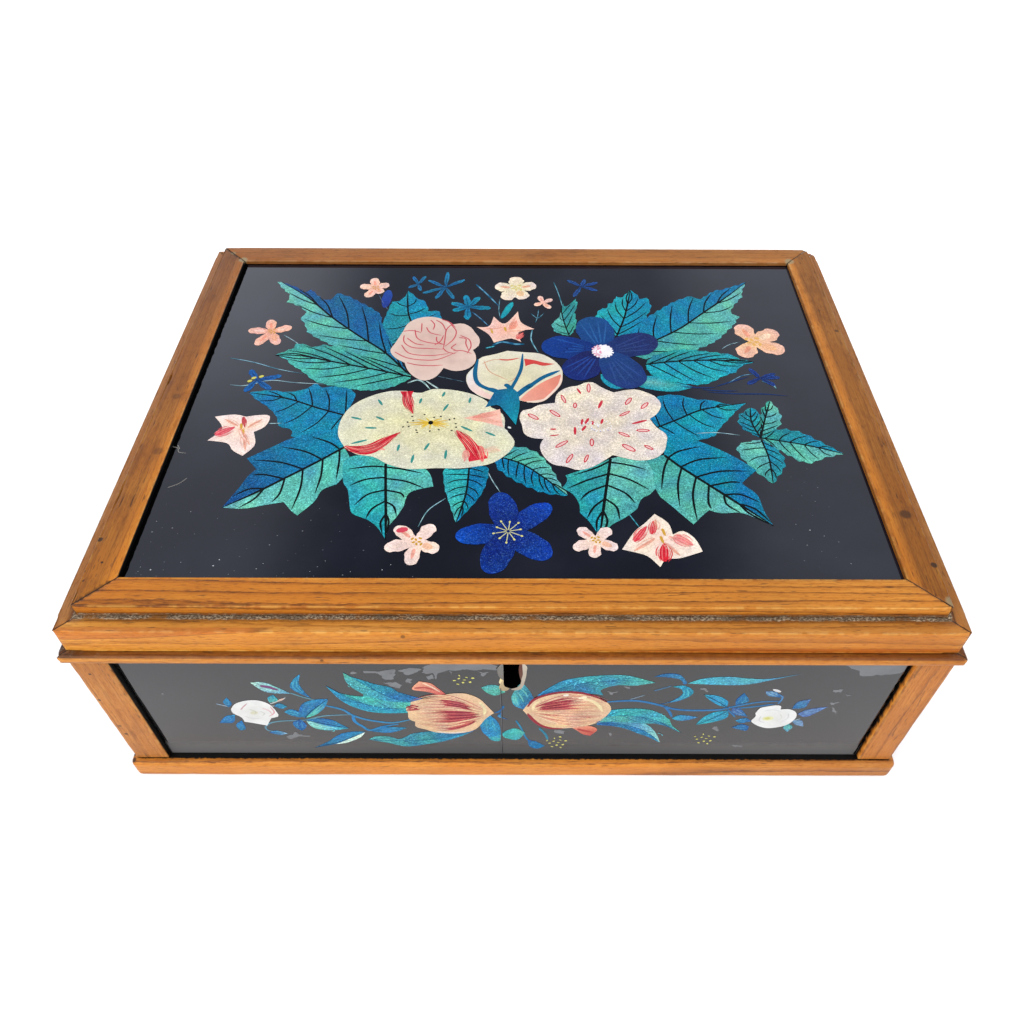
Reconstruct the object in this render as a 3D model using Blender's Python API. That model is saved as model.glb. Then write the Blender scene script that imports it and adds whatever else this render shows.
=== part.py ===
"""Trinket box: a pine frame with panes of painted glass, and a lid that lifts off.

Metres, +Z up. The origin is the middle of the underside. The front faces -Y and the width runs along X.
"""
import math

import bmesh
import bpy
from mathutils import Matrix, Vector

# Driving dimensions, in metres.
# Air left between two pieces that touch.
joint_gap = 0.0003

# Lid boards: the thick frame of the lid, measured outside.
lid_width = 0.3020
lid_depth = 0.2314
lid_board_height = 0.0116
lid_arris = 0.0006

# Top rails: flat strips on the lid boards, which hold the pane down.
rail_setback = 0.0061
rail_width = 0.0124
rail_thickness = 0.0054
rail_arris = 0.0007
rail_rebate = 0.0030

# Panes and the board behind the lid's pane.
top_glass_thickness = 0.0024
top_glass_recess = 0.0020
side_glass_thickness = 0.0024
side_glass_recess = 0.0025
backing_thickness = 0.0030

# Lip: thin mitred strips round the top of the body.
lip_reach = 0.0027
lip_thickness = 0.0040
lip_inner_reach = 0.0010

# Body: posts and inner walls.
post_width = 0.0132
post_height = 0.0724
post_reach = 0.0006
post_arris = 0.0005
wall_thickness = 0.0070

# Base board.
base_thickness = 0.0105
base_reach = 0.0023
base_arris = 0.0018
base_corner = 0.0025

# Keyhole: a U-shaped notch in the top edge of the front pane and wall.
keyhole_width = 0.0066
keyhole_depth = 0.0218

# Rounding of each corner of the mitred frames, seen from above. The lid's back right corner is worn.
sharp_corner = 0.0010
lip_corner = 0.0016
worn_corner = 0.0042

# Pieces of an arc in an eased arris or a rounded corner.
arris_steps = 4

# The four sides of the box, each a quarter turn on from the last. Each strip is made as a front strip.
sides = ("front", "right", "back", "left")
quarter_turn = math.pi / 2

# Heights of the seats, from the underside up.
post_foot = base_thickness + joint_gap
lip_foot = post_foot + post_height + joint_gap
lid_foot = lip_foot + lip_thickness + joint_gap
rail_foot = lid_foot + lid_board_height + joint_gap
rail_top = rail_foot + rail_thickness

# Outlines of the body and its base, from the lid boards out.
body_width = lid_width + 2 * post_reach
body_depth = lid_depth + 2 * post_reach
lip_outer_width = lid_width + 2 * lip_reach
lip_outer_depth = lid_depth + 2 * lip_reach
rail_outer_width = lid_width - 2 * rail_setback
rail_outer_depth = lid_depth - 2 * rail_setback

# The lid boards reach in as far as the rails' rebate, so the pane and its backing board share one outline.
lid_board_width = rail_setback + rail_width - rail_rebate
lid_inner_margin = lid_board_width + joint_gap

# The walls stand behind the panes, and the lip covers posts and walls.
wall_setback = side_glass_recess + side_glass_thickness + joint_gap
body_shell = max(post_width, wall_setback + wall_thickness)
lip_width = lip_reach - post_reach + body_shell + lip_inner_reach


def clear_scene():
    """Remove every object of the starting scene."""
    for old in list(bpy.data.objects):
        bpy.data.objects.remove(old, do_unlink=True)


def make_material(name, color, roughness, coat=0.0):
    """A Principled material with one colour and roughness."""
    material = bpy.data.materials.new(name)
    material.use_nodes = True
    shader = material.node_tree.nodes["Principled BSDF"]
    shader.inputs["Base Color"].default_value = (*color, 1.0)
    shader.inputs["Roughness"].default_value = roughness
    shader.inputs["Metallic"].default_value = 0.0
    shader.inputs["Coat Weight"].default_value = coat
    material.diffuse_color = (*color, 1.0)
    return material


def add_object(name, shape, material):
    """Make an object from a bmesh, with flat faces and soft arrises."""
    bmesh.ops.recalc_face_normals(shape, faces=shape.faces)
    mesh = bpy.data.meshes.new(name)
    shape.to_mesh(mesh)
    shape.free()
    mesh.materials.append(material)
    mesh.shade_smooth()
    mesh.set_sharp_from_angle(angle=math.radians(32))
    piece = bpy.data.objects.new(name, mesh)
    bpy.context.collection.objects.link(piece)
    return piece


def eased(corners):
    """Round the corners of a section. Each corner is (inset, height, radius)."""
    points = []
    count = len(corners)
    for index, (inset, height, radius) in enumerate(corners):
        corner = Vector((inset, height))
        if radius <= 0:
            points.append(corner)
            continue
        before = Vector(corners[index - 1][:2]) - corner
        after = Vector(corners[(index + 1) % count][:2]) - corner
        reach = min(radius, 0.45 * before.length, 0.45 * after.length)
        start = corner + before.normalized() * reach
        end = corner + after.normalized() * reach
        centre = start + end - corner
        for step in range(arris_steps + 1):
            angle = quarter_turn * step / arris_steps
            points.append(centre + (start - centre) * math.cos(angle) + (end - centre) * math.sin(angle))
    return points


def with_corner_steps(points, radius):
    """Add section points near the outer edge, so that a strip's end can follow a rounded corner."""
    mitre_inset = radius * (1 - math.sqrt(0.5))
    steps = [mitre_inset * share for share in (0.2, 0.5, 1.0)]
    result = []
    for index, point in enumerate(points):
        result.append(point)
        following = points[(index + 1) % len(points)]
        low, high = sorted((point.x, following.x))
        crossed = [inset for inset in steps if low + 1e-6 < inset < high - 1e-6]
        if following.x < point.x:
            crossed.reverse()
        for inset in crossed:
            share = (inset - point.x) / (following.x - point.x)
            result.append(point.lerp(following, share))
    return result


def strip_reach(half_length, inset, radius):
    """How far a mitred strip runs from its middle, at one inset from the frame's outer edge."""
    inset = max(inset, 0.0)
    mitre = half_length - inset - joint_gap * math.sqrt(0.5)
    if inset >= radius:
        return mitre
    arc = half_length - radius + math.sqrt(radius ** 2 - (radius - inset) ** 2)
    return min(mitre, arc)


def mitred_frame(name, width, depth, foot, section, material, corners=None):
    """Four strips of one section, mitred where they meet. The section lists (inset, height) points."""
    corners = corners or [sharp_corner] * 4
    for turns, side in enumerate(sides):
        half_length = (width if turns % 2 == 0 else depth) / 2
        distance = (depth if turns % 2 == 0 else width) / 2
        left_radius = corners[turns]
        right_radius = corners[(turns + 1) % 4]
        points = with_corner_steps(section, max(left_radius, right_radius))
        shape = bmesh.new()
        ends = [shape.verts.new((-half_length, point.x - distance, point.y)) for point in points]
        face = shape.faces.new(ends)
        far = bmesh.ops.extrude_face_region(shape, geom=[face])["geom"]
        far_verts = [item for item in far if isinstance(item, bmesh.types.BMVert)]
        for vert in ends:
            vert.co.x = -strip_reach(half_length, vert.co.y + distance, left_radius)
        for vert in far_verts:
            vert.co.x = strip_reach(half_length, vert.co.y + distance, right_radius)
        piece = add_object(f"{name}_{side}", shape, material)
        piece.rotation_euler.z = turns * quarter_turn
        piece.location.z = foot


def block(name, size, centre, material, arris=0.0):
    """A rectangular board with its long edges eased."""
    shape = bmesh.new()
    bmesh.ops.create_cube(shape, size=1.0)
    bmesh.ops.scale(shape, vec=size, verts=shape.verts)
    if arris > 0:
        bmesh.ops.bevel(
            shape, geom=shape.edges[:], offset=arris, segments=2, profile=0.5, affect="EDGES", clamp_overlap=True,
        )
    piece = add_object(name, shape, material)
    piece.location = centre
    return piece


def keyhole_cutter(thickness):
    """A U-shaped block that cuts the keyhole notch down from the top edge."""
    radius = keyhole_width / 2
    spare = keyhole_depth
    shape = bmesh.new()
    straight = keyhole_depth - radius
    outline = [(radius, spare), (-radius, spare), (-radius, -straight)]
    for step in range(1, 8):
        angle = math.pi * step / 8
        outline.append((-radius * math.cos(angle), -straight - radius * math.sin(angle)))
    outline.append((radius, -straight))
    face = shape.faces.new([shape.verts.new((x, -thickness, z)) for x, z in outline])
    grown = bmesh.ops.extrude_face_region(shape, geom=[face])["geom"]
    moved = [item for item in grown if isinstance(item, bmesh.types.BMVert)]
    bmesh.ops.translate(shape, verts=moved, vec=(0, 2 * thickness, 0))
    return shape


def cut_keyhole(piece, top, thickness):
    """Cut the notch through a pane or a wall whose top edge is at the height top."""
    cutter = add_object(f"{piece.name}_keyhole_cutter", keyhole_cutter(thickness), piece.data.materials[0])
    cutter.location = (0, piece.location.y, top)
    cutter.hide_render = True
    cutter.display_type = "WIRE"
    cut = piece.modifiers.new("keyhole", "BOOLEAN")
    cut.operation = "DIFFERENCE"
    cut.solver = "EXACT"
    cut.object = cutter


def make_lid(pine, pane, raw_wood):
    """The lid: boards, backing board, pane and the rails that hold it."""
    board = eased([
        (0, 0, lid_arris),
        (lid_board_width, 0, 0),
        (lid_board_width, lid_board_height, 0),
        (0, lid_board_height, lid_arris),
    ])
    lid_corners = [sharp_corner, sharp_corner, worn_corner, sharp_corner]
    mitred_frame("lid_board", lid_width, lid_depth, lid_foot, board, pine, lid_corners)

    inner_width = lid_width - 2 * lid_inner_margin
    inner_depth = lid_depth - 2 * lid_inner_margin
    glass_top = rail_top - top_glass_recess
    glass_centre = (0, 0, glass_top - top_glass_thickness / 2)
    block("top_glass", (inner_width, inner_depth, top_glass_thickness), glass_centre, pane)

    backing_top = glass_top - top_glass_thickness - joint_gap
    backing_centre = (0, 0, backing_top - backing_thickness / 2)
    block("lid_backing", (inner_width, inner_depth, backing_thickness), backing_centre, raw_wood)

    rebate_height = rail_thickness - top_glass_recess + joint_gap
    rail = eased([
        (0, 0, 0),
        (rail_width - rail_rebate, 0, 0),
        (rail_width - rail_rebate, rebate_height, 0),
        (rail_width, rebate_height, 0),
        (rail_width, rail_thickness, rail_arris),
        (0, rail_thickness, rail_arris),
    ])
    mitred_frame("top_rail", rail_outer_width, rail_outer_depth, rail_foot, rail, pine, lid_corners)


def make_lip(pine):
    """The lip round the top of the body, with a rounded nose."""
    nose = lip_thickness / 2
    lip = eased([
        (0, 0, nose),
        (lip_width, 0, 0),
        (lip_width, lip_thickness, 0),
        (0, lip_thickness, nose),
    ])
    mitred_frame("lip", lip_outer_width, lip_outer_depth, lip_foot, lip, pine, [lip_corner] * 4)


def make_body(pine, pane, raw_wood):
    """The body: corner posts, and a pane and a wall between them on each side."""
    post_centre_x = (body_width - post_width) / 2
    post_centre_y = (body_depth - post_width) / 2
    post_centre_z = post_foot + post_height / 2
    for front_back, across in (("front", -1), ("back", 1)):
        for left_right, along in (("left", -1), ("right", 1)):
            block(
                f"post_{front_back}_{left_right}",
                (post_width, post_width, post_height),
                (along * post_centre_x, across * post_centre_y, post_centre_z),
                pine,
                post_arris,
            )

    between = 2 * (post_width + joint_gap)
    for turns, side in enumerate(sides):
        length = (body_width if turns % 2 == 0 else body_depth) - between
        distance = (body_depth if turns % 2 == 0 else body_width) / 2
        turn = Matrix.Rotation(turns * quarter_turn, 3, "Z")
        pane_out = distance - side_glass_recess - side_glass_thickness / 2
        glass = block(
            f"{side}_glass",
            (length, side_glass_thickness, post_height),
            turn @ Vector((0, -pane_out, post_centre_z)),
            pane,
        )
        wall_out = distance - wall_setback - wall_thickness / 2
        wall = block(
            f"{side}_wall",
            (length, wall_thickness, post_height),
            turn @ Vector((0, -wall_out, post_centre_z)),
            raw_wood,
        )
        glass.rotation_euler.z = turns * quarter_turn
        wall.rotation_euler.z = turns * quarter_turn
        if side == "front":
            cut_keyhole(glass, post_foot + post_height, side_glass_thickness)
            cut_keyhole(wall, post_foot + post_height, wall_thickness)


def make_base(pine):
    """The base board, with rounded corners and eased edges."""
    base_width = body_width + 2 * base_reach
    base_depth = body_depth + 2 * base_reach
    shape = bmesh.new()
    bmesh.ops.create_cube(shape, size=1.0)
    bmesh.ops.scale(shape, vec=(base_width, base_depth, base_thickness), verts=shape.verts)
    upright = [edge for edge in shape.edges if abs(edge.verts[0].co.z - edge.verts[1].co.z) > base_thickness / 2]
    bmesh.ops.bevel(
        shape, geom=upright, offset=base_corner, segments=arris_steps, profile=0.5, affect="EDGES",
    )
    rims = [edge for edge in shape.edges if abs(edge.verts[0].co.z - edge.verts[1].co.z) < base_thickness / 2]
    bmesh.ops.bevel(
        shape, geom=rims, offset=min(base_arris, 0.4 * base_thickness), segments=3, profile=0.5, affect="EDGES",
    )
    piece = add_object("base_board", shape, pine)
    piece.location.z = base_thickness / 2


clear_scene()
pine = make_material("waxed_pine", (0.55, 0.27, 0.085), 0.45)
raw_wood = make_material("raw_pine", (0.42, 0.25, 0.12), 0.75)
pane = make_material("painted_glass", (0.012, 0.014, 0.02), 0.12, coat=1.0)
make_base(pine)
make_body(pine, pane, raw_wood)
make_lip(pine)
make_lid(pine, pane, raw_wood)
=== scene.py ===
import itertools
import math

import bmesh
import bpy
from mathutils import Matrix, Vector, noise


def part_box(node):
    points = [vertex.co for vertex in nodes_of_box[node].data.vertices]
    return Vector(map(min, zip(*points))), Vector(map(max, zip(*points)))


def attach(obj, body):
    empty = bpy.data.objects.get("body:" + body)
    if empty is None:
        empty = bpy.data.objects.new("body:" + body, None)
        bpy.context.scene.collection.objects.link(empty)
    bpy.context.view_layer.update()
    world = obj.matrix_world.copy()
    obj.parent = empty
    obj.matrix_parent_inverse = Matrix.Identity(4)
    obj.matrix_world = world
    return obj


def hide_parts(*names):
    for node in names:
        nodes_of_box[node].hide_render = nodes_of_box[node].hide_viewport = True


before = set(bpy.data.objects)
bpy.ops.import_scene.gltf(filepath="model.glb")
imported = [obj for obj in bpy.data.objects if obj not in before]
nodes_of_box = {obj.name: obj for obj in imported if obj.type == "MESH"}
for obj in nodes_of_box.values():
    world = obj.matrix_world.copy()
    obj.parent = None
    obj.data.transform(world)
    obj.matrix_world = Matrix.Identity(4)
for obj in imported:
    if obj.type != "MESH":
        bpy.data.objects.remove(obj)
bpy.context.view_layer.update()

scene = bpy.context.scene

# Camera: a wide lens close above the front edge, turned a little, as the photograph was taken. Its
# place, tilt and lens come from a fit to the corners of the box in the photograph.
camera_lens = 30.2
camera_shift = -0.01025
camera_distance = 0.4091
camera_target = Vector((0.0034, 0.0, 0.0306))
camera_pitch = math.radians(47.84)
camera_yaw = math.radians(0.14)
camera_roll = math.radians(0.28)
look = Vector((0, math.cos(camera_pitch), -math.sin(camera_pitch)))
camera_data = bpy.data.cameras.new("camera")
camera_data.sensor_width = 36
camera_data.lens = camera_lens
camera_data.shift_x = camera_shift
camera_data.clip_start = 0.01
camera = bpy.data.objects.new("camera", camera_data)
scene.collection.objects.link(camera)
camera.matrix_world = (
    Matrix.Rotation(-camera_yaw, 4, "Z")
    @ Matrix.Translation(camera_target - look * camera_distance)
    @ Matrix.Rotation(math.pi / 2 - camera_pitch, 4, "X")
    @ Matrix.Rotation(camera_roll, 4, "Z")
)
scene.camera = camera
scene.view_settings.view_transform = "Standard"

# Studio: a pale floor in a bright white room, with a broad soft lamp on each side. Behind the box
# hangs a dark screen, which the pane of the lid mirrors in its middle.
room_wall, room_side, room_ceiling = (1.0, 1.0, 1.0), (0.80, 0.83, 0.95), (1.45, 1.45, 1.45)
room_window, room_screen = (1.55, 1.6, 1.8), (0.09, 0.10, 0.12)
floor_white, floor_roughness, floor_reach = (0.88, 0.88, 0.88, 1), 0.8, 4.0
lamp_spread = math.radians(50)


def feed(value, socket):
    """Link a channel to a socket, or set the socket to a number or a colour."""
    if isinstance(value, Channel):
        value.tree.links.new(value.socket, socket)
    elif socket.type == "RGBA":
        socket.default_value = (*value[:3], 1)
    else:
        socket.default_value = value


def add_node(tree, kind, *inputs, **settings):
    """Add a shader node. inputs feed its first sockets. Settings are its own properties, or its other
    sockets, by their names with _ for a space."""
    made = tree.nodes.new(kind)
    for name, value in settings.items():
        if hasattr(made, name):
            setattr(made, name, value)
        else:
            feed(value, made.inputs[name.replace("_", " ")])
    for value, socket in zip(inputs, made.inputs):
        feed(value, socket)
    return made


class Channel:
    """A number, place or colour in a node tree. Its sums and products become Math nodes."""

    def __init__(self, tree, socket):
        self.tree = tree
        self.socket = socket

    def math(self, operation, *others, clamp=False):
        """A Math node over this number and others."""
        made = add_node(self.tree, "ShaderNodeMath", self, *others, operation=operation, use_clamp=clamp)
        return Channel(self.tree, made.outputs[0])

    def __add__(self, other):
        return self.math("ADD", other)

    def __sub__(self, other):
        return self.math("SUBTRACT", other)

    def __rsub__(self, other):
        made = add_node(self.tree, "ShaderNodeMath", other, self, operation="SUBTRACT")
        return Channel(self.tree, made.outputs[0])

    def __mul__(self, other):
        return self.math("MULTIPLY", other)

    def __truediv__(self, other):
        return self.math("DIVIDE", other)

    def __abs__(self):
        return self.math("ABSOLUTE")

    def larger(self, other):
        """The larger of this number and another."""
        return self.math("MAXIMUM", other)

    def remap(self, low, high, out_low=0.0, out_high=1.0):
        """This number taken from one range to another, softly and clamped."""
        made = add_node(self.tree, "ShaderNodeMapRange", self, low, high, out_low, out_high,
                        interpolation_type="SMOOTHSTEP", clamp=True)
        return Channel(self.tree, made.outputs[0])

    def blend(self, first, second, mode="MIX"):
        """A mix of two colours, with this number as the share of the second."""
        return mix_colors(self.tree, self, first, second, mode)

    def tinted(self, color, mode="MULTIPLY"):
        """This colour multiplied by another."""
        return mix_colors(self.tree, 1.0, self, color, mode)

    def split(self):
        """The three parts of this place."""
        made = add_node(self.tree, "ShaderNodeSeparateXYZ", self)
        return [Channel(self.tree, output) for output in made.outputs]

    def stretched(self, along, across=1.0, depth=1.0):
        """This place scaled, so that a pattern read there is drawn out where the scale is small."""
        made = add_node(self.tree, "ShaderNodeVectorMath", self, (along, across, depth), operation="MULTIPLY")
        return Channel(self.tree, made.outputs[0])

    def noise(self, scale, detail=3.0, roughness=0.55):
        """A noise pattern read at this place."""
        made = add_node(self.tree, "ShaderNodeTexNoise", self, Scale=scale, Detail=detail,
                        Roughness=roughness)
        return Channel(self.tree, made.outputs["Fac"])


def mix_colors(tree, amount, first, second, mode="MIX"):
    """A colour mix whose amount and colours are linked or set."""
    made = add_node(tree, "ShaderNodeMix", data_type="RGBA", blend_type=mode)
    for value, socket_index in ((amount, 0), (first, 6), (second, 7)):
        feed(value, made.inputs[socket_index])
    return Channel(tree, made.outputs[2])


def soft_lamp(name, side, strength, color):
    """A broad lamp far away, that shines on the box from a side."""
    data = bpy.data.lights.new(name, "SUN")
    data.energy = strength
    data.angle = lamp_spread
    data.color = color
    lamp = bpy.data.objects.new(name, data)
    scene.collection.objects.link(lamp)
    lamp.rotation_euler = Vector(side).to_track_quat("Z", "Y").to_euler()


def new_piece(name, shape, material):
    """An object with the form of a finished bmesh."""
    mesh = bpy.data.meshes.new(name)
    shape.to_mesh(mesh)
    shape.free()
    mesh.materials.append(material)
    piece = bpy.data.objects.new(name, mesh)
    scene.collection.objects.link(piece)
    return piece


world = bpy.data.worlds.new("studio")
world.use_nodes = True
scene.world = world
sky = world.node_tree
direction = Channel(sky, add_node(sky, "ShaderNodeTexCoord").outputs["Generated"])
to_side, to_back, height = direction.split()
low_height = height.larger(0.1)
sideways = to_side / low_height
beyond = to_back / low_height
room = height.remap(0.30, 0.52).blend(room_wall, room_side)
room = height.remap(0.82, 0.92).blend(room, room_ceiling)
far_left = sideways.remap(-0.25, -0.6) * beyond.remap(0.9, 1.5)
room = (far_left * 0.8).blend(room, room_window)
screen = abs(sideways + 0.01).remap(0.44, 0.24) * beyond.remap(0.30, 0.65)
screen = screen * height.remap(0.36, 0.48) * beyond.remap(0.95, 1.65, 0.85, 0.62)
feed(screen.blend(room, room_screen), sky.nodes["Background"].inputs["Color"])
sky.nodes["Background"].inputs["Strength"].default_value = 1.0

soft_lamp("left_lamp", (-0.50, -0.62, 0.75), 1.9, (1.0, 0.99, 0.97))
soft_lamp("right_lamp", (0.62, -0.50, 0.60), 1.0, (0.97, 0.98, 1.0))

floor_shape = bmesh.new()
bmesh.ops.create_grid(floor_shape, x_segments=1, y_segments=1, size=floor_reach)
floor_paper = bpy.data.materials.new("floor_paper")
floor_paper.use_nodes = True
floor_paper.node_tree.nodes["Principled BSDF"].inputs["Base Color"].default_value = floor_white
floor_paper.node_tree.nodes["Principled BSDF"].inputs["Roughness"].default_value = floor_roughness
floor = new_piece("floor", floor_shape, floor_paper)

# Base board: one flat board of waxed pine with rounded corners, on which the posts and walls stand.
# The grain runs from left to right. Dirt lies on its top where that shows round the posts, its front
# corners are darker, and the strip in front of the panes is black, as paint and painted shade.
slice_length = 0.0013
edge_slices = (0.0003, 0.0007, 0.0013, 0.0022, 0.0036, 0.0055, 0.0085, 0.0130)
round_reach, round_depth = 0.0009, 0.00016
wave_reach, wave_depth = 0.0022, 0.00030
dent_depth = 0.00012
sharp_angle = math.radians(35)
mitre_offset = 0.0353
mitre_reach = 0.0003
mitre_pull = 0.6
mitre_height = 0.0834
mitre_tip = 0.006
seam_depth = 0.00025
grain_directions = {"X": (0, 1, 2), "Y": (1, 0, 2), "Z": (2, 0, 1)}


def cad_shape(node_name):
    """The node's form as a bmesh of whole faces, without the doubled corners of its triangles."""
    shape = bmesh.new()
    shape.from_mesh(nodes_of_box[node_name].data)
    bmesh.ops.remove_doubles(shape, verts=shape.verts, dist=1e-6)
    bmesh.ops.dissolve_limit(shape, angle_limit=math.radians(1), verts=shape.verts, edges=shape.edges)
    return shape


def saw_across(shape, axis, places):
    """Cut lines round the form at places along an axis, so that its surface can be worn."""
    normal = Vector([1.0 if index == axis else 0.0 for index in range(3)])
    for place in places:
        geometry = shape.verts[:] + shape.edges[:] + shape.faces[:]
        bmesh.ops.bisect_plane(shape, geom=geometry, dist=1e-7, plane_co=normal * place, plane_no=normal)


def sawn_fine(node_name, low, high, axes):
    """The node's form, cut into short slices along its grain and into fine ones beside its edges."""
    shape = cad_shape(node_name)
    length = high[axes[0]] - low[axes[0]]
    steps = max(1, round(length / slice_length))
    saw_across(shape, axes[0], [low[axes[0]] + length * step / steps for step in range(1, steps)])
    for axis in axes[1:]:
        near = [side for side in edge_slices if side < (high[axis] - low[axis]) / 2]
        saw_across(shape, axis, [low[axis] + side for side in near] + [high[axis] - side for side in near])
    shape.normal_update()
    return shape


def smooth_step(low, high, value):
    """Rise softly from 0 at low to 1 at high."""
    share = min(1.0, max(0.0, (value - low) / (high - low)))
    return share * share * (3 - 2 * share)


def edge_distance(place, low, high, axes):
    """How far a place is from the nearest edge of a box, counted along the two faces that meet there."""
    inside = [min(place[axis] - low[axis], high[axis] - place[axis]) for axis in axes]
    return sum(inside) - max(inside)


def inward_from(vert, low, high, near_tip):
    """The direction that leads into a box from the faces that a vertex lies on, and from the rounding
    of its upright corner where it has one."""
    place = vert.co
    touching = [(place[axis] - low[axis] < 1e-6, high[axis] - place[axis] < 1e-6) for axis in range(3)]
    inward = Vector([at_low - at_high for at_low, at_high in touching])
    if near_tip and not inward.x and not inward.y and vert.normal.xy.length > 0.3:
        inward.x, inward.y = -math.copysign(0.7, place.x), -math.copysign(0.7, place.y)
    return inward.normalized()


def wear_depth(place, shift, low, high, axes, wear, chips):
    """How deep the wood is worn at a place: rounded arrises, waves beside them, dents and chips."""
    wave = 0.5 + 0.35 * noise.noise(place * 38 + shift) + 0.4 * noise.noise(place * 110 + shift)
    dent = max(0.0, noise.noise(place * 210 + shift) - 0.15)
    edge = edge_distance(place, low, high, axes)
    near_edge = 1.0 - smooth_step(0.0, wave_reach, edge)
    arris = (1.0 - smooth_step(0.0, round_reach, edge)) * round_depth
    depth = arris + near_edge * wave_depth * wear * max(0.0, wave) + dent_depth * dent * (0.4 + near_edge)
    for centre, reach, chip_depth in chips:
        away = Vector([(place[axis] - centre[axis]) / reach[axis] for axis in range(3)]).length
        depth += chip_depth * (1.0 - smooth_step(0.3, 1.0, away))
    return depth


def worn_moves(shape, low, high, axes, shift, wear, chips):
    """How far wear moves each vertex. On a mitre both pieces are worn alike and drawn together."""
    mitred = low.z > mitre_height
    reach_x = high.x if axes[0] == 0 else high.y + mitre_offset
    moves = []
    for vert in shape.verts:
        off_mitre = abs(vert.co.x) - abs(vert.co.y) - mitre_offset
        on_mitre = mitred and abs(off_mitre) < mitre_reach
        depth = wear_depth(vert.co, Vector() if on_mitre else shift, low, high, axes, wear, chips)
        from_tip = max(reach_x - abs(vert.co.x), reach_x - mitre_offset - abs(vert.co.y))
        inward = inward_from(vert, low, high, mitred and from_tip < mitre_tip)
        move = inward * depth if inward.length or mitred else vert.normal * -depth
        if on_mitre:
            across_mitre = Vector((math.copysign(0.7071, vert.co.x), -math.copysign(0.7071, vert.co.y), 0))
            move -= across_mitre * (move.dot(across_mitre) + mitre_pull * off_mitre)
            near_top = smooth_step(high.z - 0.0003, high.z, vert.co.z)
            move.z -= seam_depth * near_top * smooth_step(0.0005, 0.0025, from_tip)
        moves.append(move)
    return moves


def plank(name, node_name, run, tone, grime, seed, wear=1.0, chips=(), rings=1.0):
    """A worn piece of pine that stands for a CAD node. run is the axis of its grain. tone(place, normal)
    is its colour beside fresh waxed pine, and grime(place, normal) how dirty it is. chips are
    (centre, reach, depth) of places where an arris has broken away. rings is how strongly they show."""
    low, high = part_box(node_name)
    axes = grain_directions[run]
    shift = Vector((seed * 3.1, seed * 1.7, seed * 0.9))
    shape = sawn_fine(node_name, low, high, axes)
    moves = worn_moves(shape, low, high, axes, shift, wear, chips)
    for vert, move in zip(shape.verts, moves):
        vert.co = [min(high[axis], max(low[axis], vert.co[axis] + move[axis])) for axis in range(3)]
    bmesh.ops.triangulate(shape, faces=[face for face in shape.faces if len(face.verts) > 4])
    piece = new_piece(name, shape, pine)
    mesh = piece.data
    mesh.shade_smooth()
    mesh.set_sharp_from_angle(angle=sharp_angle)

    centre = (low + high) / 2
    grain, dirt, worn, tint = [], [], [], []
    for vert in mesh.vertices:
        place = vert.co
        local = place - centre
        grain += [local[axes[0]] + seed * 0.37, local[axes[1]], local[axes[2]]]
        dirt.append(grime(place, vert.normal))
        worn.append(1.0 - smooth_step(0.0003, 0.0016, edge_distance(place, low, high, axes)))
        patchy = 1.0 + 0.12 * noise.noise(place * 30 + shift)
        tint += [share * patchy for share in tone(place, vert.normal)] + [rings]
    for attribute_name, kind, field, values in (
        ("grain", "FLOAT_VECTOR", "vector", grain), ("grime", "FLOAT", "value", dirt),
        ("worn", "FLOAT", "value", worn), ("tone", "FLOAT_COLOR", "color", tint),
    ):
        mesh.attributes.new(attribute_name, kind, "POINT").data.foreach_set(field, values)
    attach(piece, "root")
    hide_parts(node_name)


def linear(red, green, blue, strength=1.0):
    """A colour given as it looks on a screen, 0 to 255, as linear light."""
    channels = []
    for value in (red, green, blue):
        share = value / 255
        channels.append(strength * (share / 12.92 if share <= 0.04045 else ((share + 0.055) / 1.055) ** 2.4))
    return tuple(channels)


def new_material(name):
    """A material with its node tree and its shader."""
    material = bpy.data.materials.new(name)
    material.use_nodes = True
    return material, material.node_tree, material.node_tree.nodes["Principled BSDF"]


def object_place(tree):
    """The place on the surface, in metres."""
    return Channel(tree, add_node(tree, "ShaderNodeTexCoord").outputs["Object"])


def attribute(tree, name, output="Fac"):
    """What a piece carries at each of its points under a name."""
    return Channel(tree, add_node(tree, "ShaderNodeAttribute", attribute_name=name).outputs[output])


def set_shader(shader, **settings):
    """Link or set the shader's sockets, by their names with _ for a space."""
    for name, value in settings.items():
        feed(value, shader.inputs[name.replace("_", " ")])


def bumped(relief, strength, distance):
    """The surface's normals, tilted by a relief."""
    made = add_node(relief.tree, "ShaderNodeBump", Strength=strength, Distance=distance, Height=relief)
    return Channel(relief.tree, made.outputs["Normal"])


def marks_at(place, marks):
    """How strongly round marks show at a place. marks are (centre, reach, strength) in millimetres."""
    shown = None
    for centre, reach, strength in marks:
        away = add_node(place.tree, "ShaderNodeVectorMath", place, Vector(centre) * 0.001,
                        operation="DISTANCE")
        mark = Channel(place.tree, away.outputs["Value"]).remap(reach * 0.00055, reach * 0.001, strength, 0.0)
        shown = mark if shown is None else shown.larger(mark)
    return shown


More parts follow.
